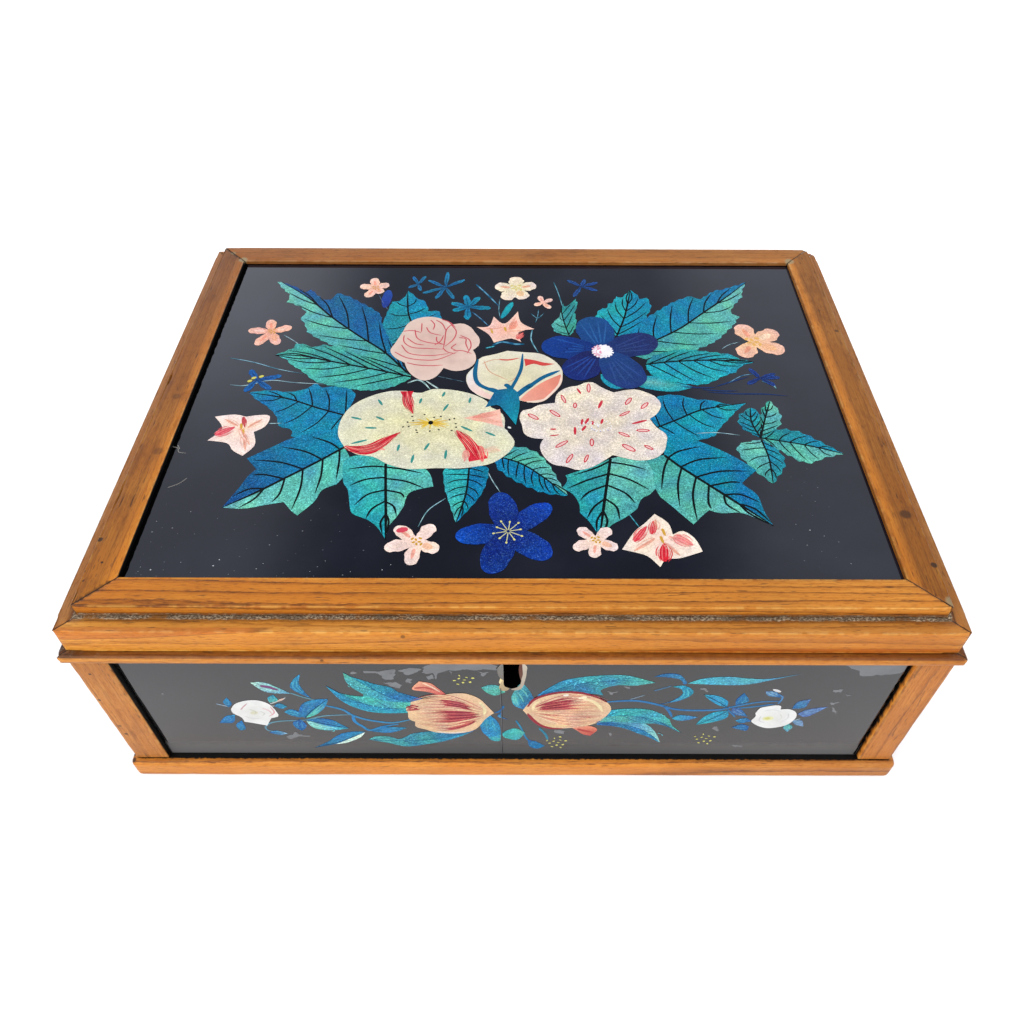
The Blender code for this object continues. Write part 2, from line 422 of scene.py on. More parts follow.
dark_marks = (
    ((-144.0, -80.9, 105), 1.3, 0.9), ((-139.9, -91.2, 105), 0.6, 1.0), ((-144.8, -95.0, 105), 0.7, 0.7),
    ((-143.6, -99.0, 105), 0.6, 0.7), ((-138.1, -4.3, 105), 2.2, 0.4), ((-136.3, -36.6, 105), 2.4, 0.4),
    ((140.7, -68.0, 105), 2.6, 0.7), ((143.6, -91.2, 105), 1.5, 0.9), ((142.9, 41.9, 105), 1.2, 0.7),
    ((-146.9, -116.3, 74.4), 0.7, 0.9), ((-150.0, -116.3, 56.7), 0.8, 0.9),
    ((-149.1, -116.3, 37.5), 0.8, 0.7),
    ((-148.9, -116.3, 31.2), 0.9, 0.8), ((-36.0, -115.7, 97.0), 1.0, 0.6), ((-64.0, -118.4, 86.5), 0.8, 0.7),
    ((-153.8, -113.5, 10.4), 2.4, 1.0), ((-153.0, -116.8, 10.6), 1.6, 0.9), ((153.6, -113.0, 10.6), 2.0, 0.9),
)
putty_marks = (
    ((-133.4, 98.2, 105), 2.6, 0.8), ((133.6, 98.4, 105), 2.8, 0.8), ((144.6, -106.5, 105), 2.6, 0.7),
    ((-139.5, 104.2, 105), 1.6, 0.6), ((143.9, 108.6, 105), 1.8, 0.6),
)
light_on_wood = 0.64
wood_colors = {
    "early": (226, 148, 64), "early_dark": (200, 120, 42), "blotch": (212, 130, 48), "late": (168, 92, 24),
    "late_dark": (128, 62, 12), "core": (92, 48, 14), "rubbed": (242, 182, 108), "seam": (120, 62, 20),
    "putty": (158, 146, 112),
}
wood_colors = {name: linear(*color, light_on_wood) for name, color in wood_colors.items()}
pore_brown, mark_brown, mitre_brown = (0.050, 0.016, 0.005), (0.022, 0.009, 0.004), (0.020, 0.010, 0.005)
stain_tint, dirt_tint = (0.36, 0.26, 0.18), (0.34, 0.27, 0.24)
foot_black_and_shade = (0.0015, 0.0012, 0.0010)
fluff_dark, fluff_pale, fluff_brown = (0.075, 0.046, 0.026), (0.42, 0.32, 0.21), (0.085, 0.052, 0.028)
rings_per_metre = 275
heart_across, heart_deep = 0.030, 0.019
board_face = -0.1140
board_low, board_top = 0.0877, 0.0996
base_top = 0.0100


def ring_pattern(place, rings):
    """The growth rings: how strong their late wood is, and the thin dark line at its end."""
    fine_drift = place.stretched(0.12).noise(900, 2.0)
    _, across, depth = place.split()
    across = across + heart_across
    depth = depth + -heart_deep
    turns = (across * across + depth * depth).math("SQRT") * rings_per_metre
    turns = turns + place.stretched(0.05).noise(70, 2.0) * 3.0
    turns = turns + fine_drift * 0.25 + place.stretched(0.09).noise(3000, 2.0, 0.7) * 0.30
    ring = turns.math("FRACT")
    fade = 1.0 - ring.remap(0.94, 1.0)
    line = ring.remap(0.42, 0.92).math("POWER", 2.0) * fade * rings
    broken = place.stretched(0.10).noise(1100, 3.0, 0.7).remap(0.36, 0.60)
    core = ring.remap(0.80, 0.90) * fade * broken * rings
    return line, core, fine_drift


def front_board_bands(wood, here, fine_drift):
    """Two long wedges of other wood on the lid's front board: red above the left, amber below the right."""
    along_front, to_back, height_up = here.split()
    on_board = to_back.remap(board_face + 0.0004, board_face) * height_up.remap(board_low, board_low + 0.0001)
    on_board = on_board * height_up.remap(board_top, board_top - 0.0001)
    wiggle = (fine_drift - 0.5) * 0.0006
    red_foot = along_front.remap(-0.151, -0.062, 0.0950, 0.1000) + wiggle
    amber_top = along_front.remap(0.015, 0.070, 0.0870, 0.0907) + wiggle
    for above, tint in ((height_up - red_foot, (0.80, 0.62, 0.58)),
                        (amber_top - height_up, (0.86, 0.64, 0.42))):
        band = above.remap(0.0, 0.0002, 0.0, 0.9) * on_board
        seam_line = abs(above).remap(0.00004, 0.00028, 0.55, 0.0) * on_board
        wood = seam_line.blend(band.blend(wood, wood.tinted(tint)), wood_colors["seam"])
    return wood


def darkened_joints(wood, here):
    """Dark mitre lines on the lid and the lip, and a strip of black on the base in front of the panes, black
    paint together with painted shade in the corner at their foot.
    """
    along_front, to_back, height_up = here.split()
    out_x, out_y = abs(along_front), abs(to_back)
    seam = abs(out_x - out_y - mitre_offset).remap(0.00018, 0.00050, 1.0, 0.0)
    seam = seam * height_up.remap(mitre_height - 0.0002, mitre_height)
    wood = (seam * 0.85).blend(wood, mitre_brown)
    from_pane = (out_x - 0.1491).larger(out_y - 0.1138) + here.noise(560, 3.0) * 0.0014
    foot = from_pane.remap(0.0028, 0.0033, 1.0, 0.0) * height_up.remap(base_top - 0.0002, base_top)
    foot = foot * height_up.remap(base_top + 0.0007, base_top + 0.0006)
    return foot.blend(wood, foot_black_and_shade)


def make_pine():
    """Waxed pine: hard dark rings along the grain, pores, worn arrises that are also painted highlights,
    grime and a satin wax.
    """
    material, tree, shader = new_material("waxed_pine")
    here = object_place(tree)
    place = attribute(tree, "grain", "Vector")
    grime = attribute(tree, "grime")
    rings = attribute(tree, "tone", "Alpha")
    line, core, fine_drift = ring_pattern(place, rings)
    streaks = place.stretched(0.035).noise(1500, 3.0, 0.6)
    dashes = place.stretched(0.16).noise(2300, 1.0).remap(0.55, 0.68)
    pores = place.stretched(0.12).noise(1300, 1.0).remap(0.68, 0.75)

    early = streaks.remap(0.3, 0.7).blend(wood_colors["early"], wood_colors["early_dark"])
    early = place.noise(45, 3.0).remap(0.35, 0.7).blend(early, wood_colors["blotch"])
    latewood = fine_drift.blend(wood_colors["late"], wood_colors["late_dark"])
    wood = (line * 0.62).blend(early, latewood)
    wood = (core * 0.80).blend(wood, wood_colors["core"])
    wood = (dashes * 0.42).blend(wood, latewood)
    wood = (pores * 0.60).blend(wood, pore_brown)
    # Pale rubbed arrises: wear, and also a painted highlight along the edges.
    rubbed = attribute(tree, "worn") * place.noise(260, 2.0).remap(0.40, 0.62)
    wood = (rubbed * 0.50).blend(wood, wood_colors["rubbed"])
    wood = wood.tinted(attribute(tree, "tone", "Color"))
    wood = front_board_bands(wood, here, fine_drift)
    stains = place.stretched(0.4).noise(170, 4.0, 0.65).remap(0.50, 0.68, 0.0, 0.34)
    stains = stains * rings.remap(0.28, 0.60, 1.0, 0.25)
    wood = stains.blend(wood, wood.tinted(stain_tint))
    wood = marks_at(here, dark_marks).blend(wood, mark_brown)
    wood = marks_at(here, putty_marks).blend(wood, wood_colors["putty"])
    wood = darkened_joints(wood, here)

    smear = place.noise(420, 3.0)
    film = (grime + smear * 0.5).remap(0.40, 1.05)
    wood = (film * 0.75).blend(wood, wood.tinted(dirt_tint))
    crumbs = here.stretched(0.7).noise(1500, 4.0, 0.65).remap(0.40, 0.66)
    fluff_color = crumbs.blend(fluff_dark, fluff_pale)
    fluff_color = here.noise(95, 2.0).remap(0.42, 0.62, 0.0, 0.75).blend(fluff_color, fluff_brown)
    fluff = (grime + smear * 0.7).remap(1.18, 1.50) * grime.remap(0.6, 0.9)

    rough = (streaks * 0.22 + 0.36).math("ADD", fluff * 0.35, clamp=True)
    relief = streaks * 0.35 - pores * 0.6 + line * 0.5 + crumbs * fluff * 2.0
    set_shader(shader, Base_Color=fluff.blend(wood, fluff_color), Roughness=rough, Specular_IOR_Level=0.22,
               Normal=bumped(relief, 0.6, 0.00014))
    return material


pine = make_pine()
base_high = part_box("base_board")[1]
post_low, post_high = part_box("post_front_left")
pane_plane = 0.1156


def base_grime(place, normal):
    """Dirt on the strip of the base's top that shows in front of the panes."""
    on_top = smooth_step(0.5, 0.9, normal.z) * smooth_step(base_high.z - 0.0012, base_high.z, place.z)
    beside = max(abs(place.x) - post_high.x, abs(place.y) - abs(post_low.y))
    past_posts = smooth_step(0.0, 0.0010, beside)
    before_pane = smooth_step(0.0015, 0.0, abs(abs(place.y) - pane_plane))
    return on_top * (1.05 * before_pane * (1 - past_posts) + 0.30)


def base_tone(place, normal):
    """A fresh gold that turns browner toward the right end."""
    worn = 1 - 0.24 * smooth_step(0.04, 0.12, place.x)
    return 1.13 * worn, 1.13 * worn, 0.87


plank("pine_base_board", "base_board", "X", base_tone, base_grime, 1, rings=0.9)

# Corner posts: four square sticks of pine that stand on the base and carry the lip. Their grain
# runs up and down. Black paint was brushed past the panes, and their inner faces are black, as black
# paint and painted shade together; on the front right post the inner face is painted lighter, as
# painted light, and black only in a ragged line of paint beside the pane.
post_tones = {
    "front_left": (0.86, 0.87, 0.84),
    "front_right": (0.87, 0.82, 0.60),
    "back_left": (0.70, 0.74, 0.85),
    "back_right": (0.70, 0.74, 0.85),
}
post_rings = {"front_left": 0.25, "front_right": 0.55, "back_left": 0.25, "back_right": 0.25}


def clean(place, normal):
    """Nowhere dirty."""
    return 0.0


def post_tone(color):
    """A post's tone: black on the faces that look along the panes, as black paint and painted shade,
    but on the front right post painted lighter there as painted light, and black only in a ragged
    line beside the pane."""
    def tone(place, normal):
        inward = max(-normal.x * math.copysign(1, place.x), -normal.y * math.copysign(1, place.y))
        dark = smooth_step(0.80, 0.97, inward)
        if place.x > 0 and normal.x < -0.8 and place.y < -0.11:
            black = smooth_step(-0.1152, -0.1143, place.y + 0.0012 * noise.noise(place * 420))
            return [share * (1.5 - 1.5 * black) for share in color]
        return [share * (1 - dark) for share in color]
    return tone


for index, (corner, color) in enumerate(post_tones.items()):
    tone, rings = post_tone(color), post_rings[corner]
    plank(f"pine_post_{corner}", f"post_{corner}", "Z", tone, clean, 4 + index, rings=rings)

# Lip: four mitred strips with a rounded nose, on the posts. Years of handling have left their top
# brown and dirty beside the lid, darkest at its front left corner.
side_runs = {"front": "X", "right": "Y", "back": "X", "left": "Y"}
frame_reach = {"X": 0.28, "Y": 0.20}
lip_ends = {
    "front": ((1.00, 1.00, 0.84), (0.76, 0.68, 0.44)), "right": ((0.68, 0.66, 0.66), (0.68, 0.66, 0.66)),
    "back": ((0.66, 0.66, 0.70), (0.66, 0.66, 0.70)), "left": ((0.50, 0.44, 0.42), (0.60, 0.58, 0.60)),
}
lip_chips = {
    "front": (((-0.064, -0.1184, 0.0862), (0.0035, 0.0012, 0.002), 0.0006),
              ((0.102, -0.1184, 0.0868), (0.003, 0.0012, 0.002), 0.0005)),
    "left": (((-0.1537, -0.1184, 0.0855), (0.004, 0.004, 0.003), 0.0008),),
}


def end_to_end(side, ends):
    """The tone of a strip at a place, from its left or front end to the other."""
    run = side_runs[side]
    axis = grain_directions[run][0]

    def tone(place):
        share = min(1.0, max(0.0, 0.5 + place[axis] / frame_reach[run]))
        return [first + (second - first) * share for first, second in zip(*ends)]
    return tone


def frame_of_planks(group, first_seed, wear, tone_of, grime, chips, rings):
    """The four mitred strips of one frame. tone_of(side) is a side's tone, and chips and rings are
    given by side."""
    for index, (side, run) in enumerate(side_runs.items()):
        plank(f"pine_{group}_{side}", f"{group}_{side}", run, tone_of(side), grime, first_seed + index,
              wear, chips.get(side, ()), rings[side])


def lip_grime(place, normal):
    """Dirt gathers on the lip's top, thicker towards its two ends."""
    ends = max(smooth_step(-0.085, -0.145, place.x), smooth_step(0.115, 0.150, place.x))
    return smooth_step(0.3, 0.9, normal.z) * (0.64 + 0.17 * ends)


def lip_tone(side):
    """A lip's tone: brown on top, near black at the front left corner, and rubbed pale on its nose."""
    tone_at = end_to_end(side, lip_ends[side])

    def tone(place, normal):
        nose = smooth_step(0.85, 0.45, normal.z)
        stained = 0.45 * (1 - nose) * smooth_step(-0.136, -0.150, place.x)
        stained *= smooth_step(-0.09, -0.11, place.y)
        return [share * (0.86 - stained + level * nose) for share,
                level in zip(tone_at(place), (0.30, 0.42, 0.85))]
    return tone


frame_of_planks("lip", 9, 1.3, lip_tone, lip_grime, lip_chips, dict.fromkeys(side_runs, 0.55))

# Lid boards: four mitred boards that make the thick edge of the lid. Grey fluff and grime fill the
# corner where the rails stand on their ledge.
rail_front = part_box("top_rail_front")[0].y
rail_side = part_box("top_rail_right")[1].x
ledge_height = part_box("lid_board_front")[1].z
board_ends = {
    "front": ((1.20, 1.27, 0.84), (1.00, 0.97, 0.64)), "right": ((0.74, 0.72, 0.62), (0.76, 0.74, 0.78)),
    "back": ((0.75, 0.76, 0.8), (0.75, 0.76, 0.8)), "left": ((0.72, 0.70, 0.66), (0.66, 0.65, 0.72)),
}
board_chips = {
    "front": (((-0.036, -0.1157, 0.0985), (0.003, 0.0015, 0.0015), 0.0005),
              ((0.151, -0.1157, 0.0995), (0.003, 0.003, 0.003), 0.0005)),
}


def beyond_rails(place):
    """How far a place is outside the top rails, seen from above."""
    return max(abs(place.x) - rail_side, abs(place.y) - abs(rail_front))


def ledge_grime(place, normal):
    """Grime on the ledge, thickest against the rails."""
    on_top = smooth_step(ledge_height - 0.0006, ledge_height - 0.0002, place.z)
    patchy = 0.20 * noise.noise(place * 90) + 0.12 * noise.noise(place * 260)
    return on_top * (1.14 + patchy - 1.10 * smooth_step(0.0010, 0.0030, beyond_rails(place)))


def board_tone(side):
    """A lid board's tone: greyer on the ledge, where dust lies, than on its face."""
    tone_at = end_to_end(side, board_ends[side])

    def tone(place, normal):
        ledge = smooth_step(0.6, 0.95, normal.z)
        return [share * (1 + level * ledge) for share, level in zip(tone_at(place), (-0.14, -0.04, 0.45))]
    return tone


frame_of_planks("lid_board", 14, 1.5, board_tone, ledge_grime, board_chips, dict.fromkeys(side_runs, 0.5))

# Top rails: four flat mitred strips that hold the pane down. The front one is bright, the others
# are browner and rubbed bright along the pane, and dirt lies at the foot of their outer edges.
rail_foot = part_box("top_rail_front")[0].z
rail_cover = 0.0124
sight_side = rail_side - rail_cover
sight_front = abs(rail_front) - rail_cover
rail_ends = {
    "front": ((0.87, 0.79, 0.34), (1.03, 1.09, 0.86)), "right": ((0.50, 0.46, 0.24), (0.52, 0.55, 0.58)),
    "back": ((0.56, 0.55, 0.64), (0.63, 0.68, 0.93)), "left": ((0.63, 0.60, 0.30), (0.37, 0.37, 0.47)),
}
inner_strips = {"front": 0.0, "right": 0.75, "back": 0.15, "left": 0.55}
# Inner faces: painted light on the right rail, painted shade on the front and back, and black painted shade
# on the left.
inner_face_light_and_shade = {"front": 0.5, "right": 1.2, "back": 0.9, "left": 0.0}
rail_rings = {"front": 1.0, "right": 0.30, "back": 0.30, "left": 0.30}
rail_chips = {
    "front": (((-0.104, -0.0972, 0.1051), (0.030, 0.0009, 0.0012), 0.0007),
              ((0.146, -0.1096, 0.1051), (0.005, 0.005, 0.004), 0.0006)),
    "left": (((-0.1449, 0.0072, 0.1051), (0.0016, 0.006, 0.0025), 0.0012),
             ((-0.1449, -0.060, 0.1051), (0.0014, 0.012, 0.002), 0.0006)),
}


def rail_grime(place, normal):
    """Dirt at the foot of a rail's outer edge."""
    foot = 1.0 - smooth_step(rail_foot + 0.0012, rail_foot + 0.0030, place.z)
    return 1.1 * foot * smooth_step(-0.0012, 0.0, beyond_rails(place))


def rail_tone(side):
    """A rail's tone: brighter where it is rubbed beside the pane, and on its inner face a painted light and
    shade of its own.
    """
    across = grain_directions[side_runs[side]][1]
    tone_at = end_to_end(side, rail_ends[side])

    def tone(place, normal):
        beyond_sight = max(abs(place.x) - sight_side, abs(place.y) - sight_front)
        rubbed = 1.0 + inner_strips[side] * (1.0 - smooth_step(0.0025, 0.0048, beyond_sight))
        inner = smooth_step(0.30, 0.65, -normal[across] * math.copysign(1, place[across]))
        bright = rubbed + (inner_face_light_and_shade[side] - rubbed) * inner
        return [share * bright for share in tone_at(place)]
    return tone


frame_of_planks("top_rail", 19, 1.6, rail_tone, rail_grime, rail_chips, rail_rings)

# Panes: five sheets of clear glass painted black behind, four between the posts and one under the
# top rails. The glass is a smooth clear coat over the black film.
glass_index, glass_roughness = 1.52, 0.03
lid_level = 0.0990
wall_black, wall_cloud = (0.0022, 0.0022, 0.0024), (0.0060, 0.0060, 0.0064)
lid_black, lid_cloud = (0.0022, 0.0027, 0.0070), (0.0060, 0.0072, 0.0135)
dust_and_reflection_middle, dust_and_reflection_ends = (0.077, 0.076, 0.075), (0.102, 0.100, 0.098)
dust_and_reflection_low, dust_and_reflection_high = 0.0185, 0.0240


def make_black_glass():
    """Black paint seen through polished glass, with faint clouds in it and a pale film at its foot, dust
    together with a painted reflection of the pale floor, paler towards the ends.
    """
    material, tree, shader = new_material("black_painted_glass")
    place = object_place(tree)
    along_front, _, height_up = place.split()
    cloud = place.noise(28, 4.0).remap(0.35, 0.75)
    on_lid = height_up.remap(lid_level, lid_level + 0.0005)
    film = on_lid.blend(cloud.blend(wall_black, wall_cloud), cloud.blend(lid_black, lid_cloud))
    # The pale foot of the side panes: dust and painted reflection of the floor together.
    lift = height_up + place.noise(160, 3.0) * 0.003
    dusty = lift.remap(dust_and_reflection_low, dust_and_reflection_high, 1.0, 0.0) * (1.0 - on_lid)
    dust_and_reflection = abs(along_front).remap(0.02, 0.11).blend(dust_and_reflection_middle, dust_and_reflection_ends)
    set_shader(shader, Base_Color=dusty.blend(film, dust_and_reflection), Coat_Weight=1.0 - dusty * 0.92, Roughness=0.5,
               Specular_IOR_Level=0.0, Coat_Roughness=glass_roughness, Coat_IOR=glass_index)
    return material


black_glass = make_black_glass()
for node_name in ("front_glass", "right_glass", "back_glass", "left_glass", "top_glass"):
    nodes_of_box[node_name].material_slots[0].material = black_glass

# Lid painting: a spray of garden flowers painted on the back of the lid's pane, on a black ground.
# Leaves and petals are thin translucent paint over crumpled foil, and the veins and outlines are
# drawn in black and crimson. All measures here are millimetres from the middle of the pane.
paint_step = 0.00001
paint_lift, edge_lift = 0.00002, 0.00001
light_on_paint = 0.70
line_black = (6, 14, 16)
crimson = (196, 20, 42)
brush_shift = Vector((5.2, 1.3, 0.0))
coats = itertools.count()


def start_painting():
    """An empty painting whose points carry a colour and how much foil shines through it."""
    shape = bmesh.new()
    shape.verts.layers.float_color.new("paint")
    shape.verts.layers.float.new("foil")
    shape.loops.layers.uv.new("brush")
    return shape


def next_coat(level):
    """Every stroke lies a hair above the last one of its level, so that no two lie in one plane."""
    return level + 0.01 * (next(coats) % 40)


def put_color(shape, vert, color, foil):
    """Give a point its colour, a little uneven as hand-mixed paint is, more so over foil."""
    uneven = 1.0 + (0.10 + 0.12 * foil) * noise.noise(vert.co * 0.21 + brush_shift)
    hue = 0.30 * foil * noise.noise(vert.co * 0.16 - brush_shift)
    paint = linear(*color, light_on_paint * uneven)
    paint = (paint[0] * (1 + hue), paint[1] * (1 + hue), paint[2] * (1 - 0.3 * hue), 1)
    vert[shape.verts.layers.float_color["paint"]] = paint
    vert[shape.verts.layers.float["foil"]] = foil


def blend_color(first, second, share):
    """A colour between two others."""
    return tuple(a + (b - a) * share for a, b in zip(first, second))


def soft_curve(points, steps=8):
    """A smooth line through a few points."""
    ends = [Vector(point) for point in (points[0], *points, points[-1])]
    line = []
    for a, b, c, d in zip(ends, ends[1:], ends[2:], ends[3:]):
        for step in range(steps):
            t = step / steps
            place = 2 * b + (c - a) * t + (2 * a - 5 * b + 4 * c - d) * t**2
            line.append(0.5 * (place + (3 * b - a - 3 * c + d) * t**3))
    return line + [ends[-1]]


def even_points(line, count):
    """The same line as count equal steps."""
    reach = [0.0]
    for first, second in zip(line, line[1:]):
        reach.append(reach[-1] + (second - first).length)
    points = []
    index = 0
    for step in range(count + 1):
        goal = reach[-1] * step / count
        while index < len(line) - 2 and reach[index + 1] < goal:
            index += 1
        span = max(1e-9, reach[index + 1] - reach[index])
        points.append(line[index].lerp(line[index + 1], min(1.0, (goal - reach[index]) / span)))
    return points


def edge_line(runs, spacing):
    """Points along an edge. Each run is a smooth stretch, and a corner is kept where two runs meet."""
    line = [Vector(runs[0][0])]
    for index, run in enumerate(runs):
        curve = soft_curve([line[-1]] + [Vector(point) for point in run[1 if index == 0 else 0:]])
        length = sum((second - first).length for first, second in zip(curve, curve[1:]))
        line += even_points(curve, max(2, round(length / spacing)))[1:]
    return line


def fill(shape, inner, rim, colors, level, foil=1.0, across=4):
    """Paint the area between an inner line, or a point, and a rim. From a line the two colours run
    along it, from a point they run out to the rim."""
    count = len(rim) - 1
    from_point = len(inner) == 1
    rib = [inner[0]] * (count + 1) if from_point else even_points(inner, count)
    coat = next_coat(level)
    grid = bmesh.ops.create_grid(shape, x_segments=count, y_segments=across, size=0.5, calc_uvs=True)["verts"]
    for vert in grid:
        along = round((vert.co.x + 0.5) * count)
        out = vert.co.y + 0.5
        place = rib[along].lerp(rim[along], out)
        share = out if from_point else along / count
        vert.co = (place.x, place.y, coat + 0.3 * share)
        put_color(shape, vert, blend_color(colors[0], colors[1], share), foil)
    bmesh.ops.remove_doubles(shape, verts=grid, dist=1e-4)


def area(shape, center, runs, spacing, colors, level, foil=1.0, across=4):
    """Paint the area inside an outline of smooth runs. Its two colours run from a point to its rim."""
    fill(shape, [Vector(center)], edge_line(runs, spacing), colors, level, foil, across)


def stroke(shape, points, width, color, level, foil=0.0, ends=(0.45, 0.15)):
    """A brush stroke along a smooth line, thinner towards its ends."""
    line = soft_curve(points, 6)
    count = len(line) - 1
    coat = next_coat(level)
    grid = bmesh.ops.create_grid(shape, x_segments=count, y_segments=1, size=0.5, calc_uvs=True)["verts"]
    for vert in grid:
        along = round((vert.co.x + 0.5) * count)
        step = line[min(along + 1, count)] - line[max(along - 1, 0)]
        side = Vector((-step.y, step.x)).normalized()
        share = along / count
        body = min(1.0, ends[0] + share * 4) * min(1.0, ends[1] + (1 - share) * 2.5)
        place = line[along] + side * (width * body * vert.co.y)
        vert.co = (place.x, place.y, coat + 0.05 * share)
        put_color(shape, vert, color, foil)


def spot(shape, center, size, color, level, turn=0.0, foil=0.0, segments=8):
    """A dab of paint: a small oval of size (length, width), turned by degrees."""
    place = Matrix.Translation((center[0], center[1], next_coat(level)))
    place = place @ Matrix.Rotation(math.radians(turn), 4,
                                    "Z") @ Matrix.Diagonal((size[0] / 2, size[1] / 2, 1, 1))
    made = bmesh.ops.create_circle(shape, cap_ends=True, segments=segments, radius=1, matrix=place,
                                   calc_uvs=True)
    for vert in made["verts"]:
        put_color(shape, vert, color, foil)


def blade(shape, first, second, colors, level, foil=0.8, count=16, across=3):
    """A plain leaf or band of paint between two smooth lines that run the same way."""
    fill(shape, soft_curve(first), even_points(soft_curve(second), count), colors, level, foil, across)


def line_between(first, second, share):
    """A line of four steps between two smooth ones, at a share of the way to the second."""
    pairs = zip(even_points(soft_curve(first), 4), even_points(soft_curve(second), 4))
    return [near.lerp(far, share) for near, far in pairs]


def petal(shape, root, tip, width, colors, level, foil=0.0, belly=0.35, ragged=0.03):
    """A rounded petal from root to tip, widest beyond its middle, its colours running from root to tip.
    Its rim is a little ragged, as a share of its width."""
    root, tip = Vector(root), Vector(tip)
    middle, reach = (root + tip) / 2, (tip - root) / 2
    side = Vector((-reach.y, reach.x)).normalized() * width / 2
    rims = []
    for hand in (-1, 1):
        rim = []
        for step in range(17):
            turn = math.pi * step / 16
            waves = (math.sin(2.1 * tip.x + hand + turn * 5), math.sin(tip.y + turn * 9 * hand))
            out = side * hand * math.sin(turn) * (1 - belly * math.cos(turn))
            out = out * (1 + ragged * waves[0] + ragged * waves[1])
            rim.append(middle - reach * math.cos(turn) + out)
        rims.append(rim)
    fill(shape, rims[0], rims[1], colors, level, foil, 3)


def feather(shape, line, width, colors, level, foil=0.3, hairs=9):
    """A flame of colour: one soft stroke, with fine hairs of the colours that run along and out of it."""
    stroke(shape, line, width * 0.62, colors[0], level, foil, (0.2, 0.1))
    points = even_points(soft_curve(line), 8)
    for index in range(hairs):
        first, last = int(3 * ((index * 0.618) % 1)), 8 - int(3.5 * ((index * 0.382 + 0.3) % 1))
        lift = width * (index / (hairs - 1) - 0.5) * 1.1
        hair = []
        for step in range(first, last + 1):
            along = points[min(step + 1, 8)] - points[max(step - 1, 0)]
            hair.append(points[step] + Vector((-along.y,
                                               along.x)).normalized() * lift * math.sin(0.5 + 2.3 * step / 8))
        stroke(shape, hair, 0.16 + 0.05 * width, colors[index % len(colors)], level + 0.5, foil, (0.25, 0.1))


def small_flower(shape, center, tips, width, colors, level, heart=(206, 150, 66), foil=0.5):
    """A small flower of one petal to each tip, with salmon shades in it and a dabbed heart."""
    for index, tip in enumerate(tips):
        petal(shape, center, tip, width * 0.80, colors, level + 0.3 * (index % 2), foil, 0.30, 0.07)
        inner, outer = Vector(center).lerp(Vector(tip), 0.3), Vector(center).lerp(Vector(tip), 0.75)
        shade = blend_color(colors[0], ((226, 132, 112), (238, 214, 196), (230, 168, 130))[index % 3], 0.6)
        stroke(shape, (inner, outer), width * (0.2 + 0.1 * (index % 3)), shade, level + 1, foil, (0.3, 0.1))
    if heart:
        for index in range(7):
            reach = width * 0.16 * (1 + index % 2)
            place = (center[0] + reach * math.cos(index * 2.4), center[1] + reach * math.sin(index * 2.4))
            spot(shape, place, (width * 0.24, width * 0.14), heart, level + 2, index * 50, segments=6)


def veins(shape, rib, rim, count, width, level, slant, ink, reach=0.88):
    """Side veins that leave the rib and bend towards the tip."""
    steps = len(rim) - 1
    rib = even_points(rib, steps)
    for index in range(count):
        start = 0.04 + 0.80 * index / count
        middle = round(steps * min(1.0, start + slant * 0.42))
        end = round(steps * min(1.0, start + slant))
        first = rib[round(steps * start)]
        last = rib[end].lerp(rim[end], reach)
        bend = first.lerp(last, 0.5).lerp(rib[middle].lerp(rim[middle], 0.5), 0.45)
        stroke(shape, (first, bend, last), width, ink, level, ends=(0.8, 0.2))


def leaf(shape, rib, halves, level, side_veins=5, width=0.75, saw=0.0, foil=1.0, slant=0.16, ink=line_black):
    """A foil leaf: halves of (edge runs, root colour, tip colour) on a black rib, with side veins. A saw
    above 0 is how far the teeth of its edge stand out."""
    rib = [Vector(point) for point in rib]
    curve = soft_curve(rib)
    for runs, root_color, tip_color in halves:
        rim = edge_line(runs, 1.6)
        if saw:
            middle = even_points(curve, len(rim) - 1)
            for index in range(1, len(rim) - 1):
                out = (rim[index] - middle[index]).normalized()
                rim[index] = rim[index] + out * saw * (index % 3 - 1)
        fill(shape, curve, rim, (root_color, tip_color), level, foil)
        veins(shape, curve, rim, side_veins, width * 0.90, level + 1, slant + 0.03, ink)
    stroke(shape, rib, width * 1.2, ink, level + 1, ends=(1.0, 0.3))


pale_teal, teal, deep_teal = (104, 178, 166), (56, 148, 140), (34, 128, 130)
cyan, azure, blue, dark_blue = (20, 146, 162), (0, 128, 158), (0, 106, 146), (4, 68, 124)
fresh_teal = (68, 168, 158)
lid = start_painting()

# The two big leaves on the left, above the middle.
leaf(lid, [(-46, 14), (-57, 28), (-70, 40), (-84, 54), (-97, 69), (-112, 82)], [
    ([[(-46, 14), (-62, 21), (-78, 31), (-88, 38), (-93, 42.5)], [(-95, 48), (-98, 53)],
      [(-96, 57), (-100, 62), (-106.3, 65.5)], [(-106, 71), (-110, 76), (-114, 82)]], teal, pale_teal),
    ([[(-46, 14), (-54, 33), (-60, 48), (-62, 56), (-69, 63)], [(-73, 66), (-78, 70), (-84, 73)],
      [(-86, 68), (-90, 68), (-97, 76)], [(-99, 73), (-103, 77), (-112, 82)]], blue, dark_blue),
], 4, 6, 0.8, 0.35)
leaf(lid, [(-44, 11), (-60, 16), (-78, 21), (-92, 25), (-104, 25.5)], [
    ([[(-44, 12), (-55, 19), (-66, 25), (-78, 31.5)], [(-81, 32), (-84, 33), (-89, 31)],
      [(-92, 33), (-96.5, 34)], [(-97, 30.5), (-100, 28.5), (-104, 25.5)]], teal, teal),
    ([[(-44, 10), (-52, 4), (-62, 2), (-72, 4)], [(-78, 5.5), (-84, 8), (-88, 12)],
      [(-92, 16), (-96, 19), (-98, 22)], [(-101, 24), (-104, 25.5)]], teal, fresh_teal),
], 8, 6, 0.8, 0.3, slant=0.3)

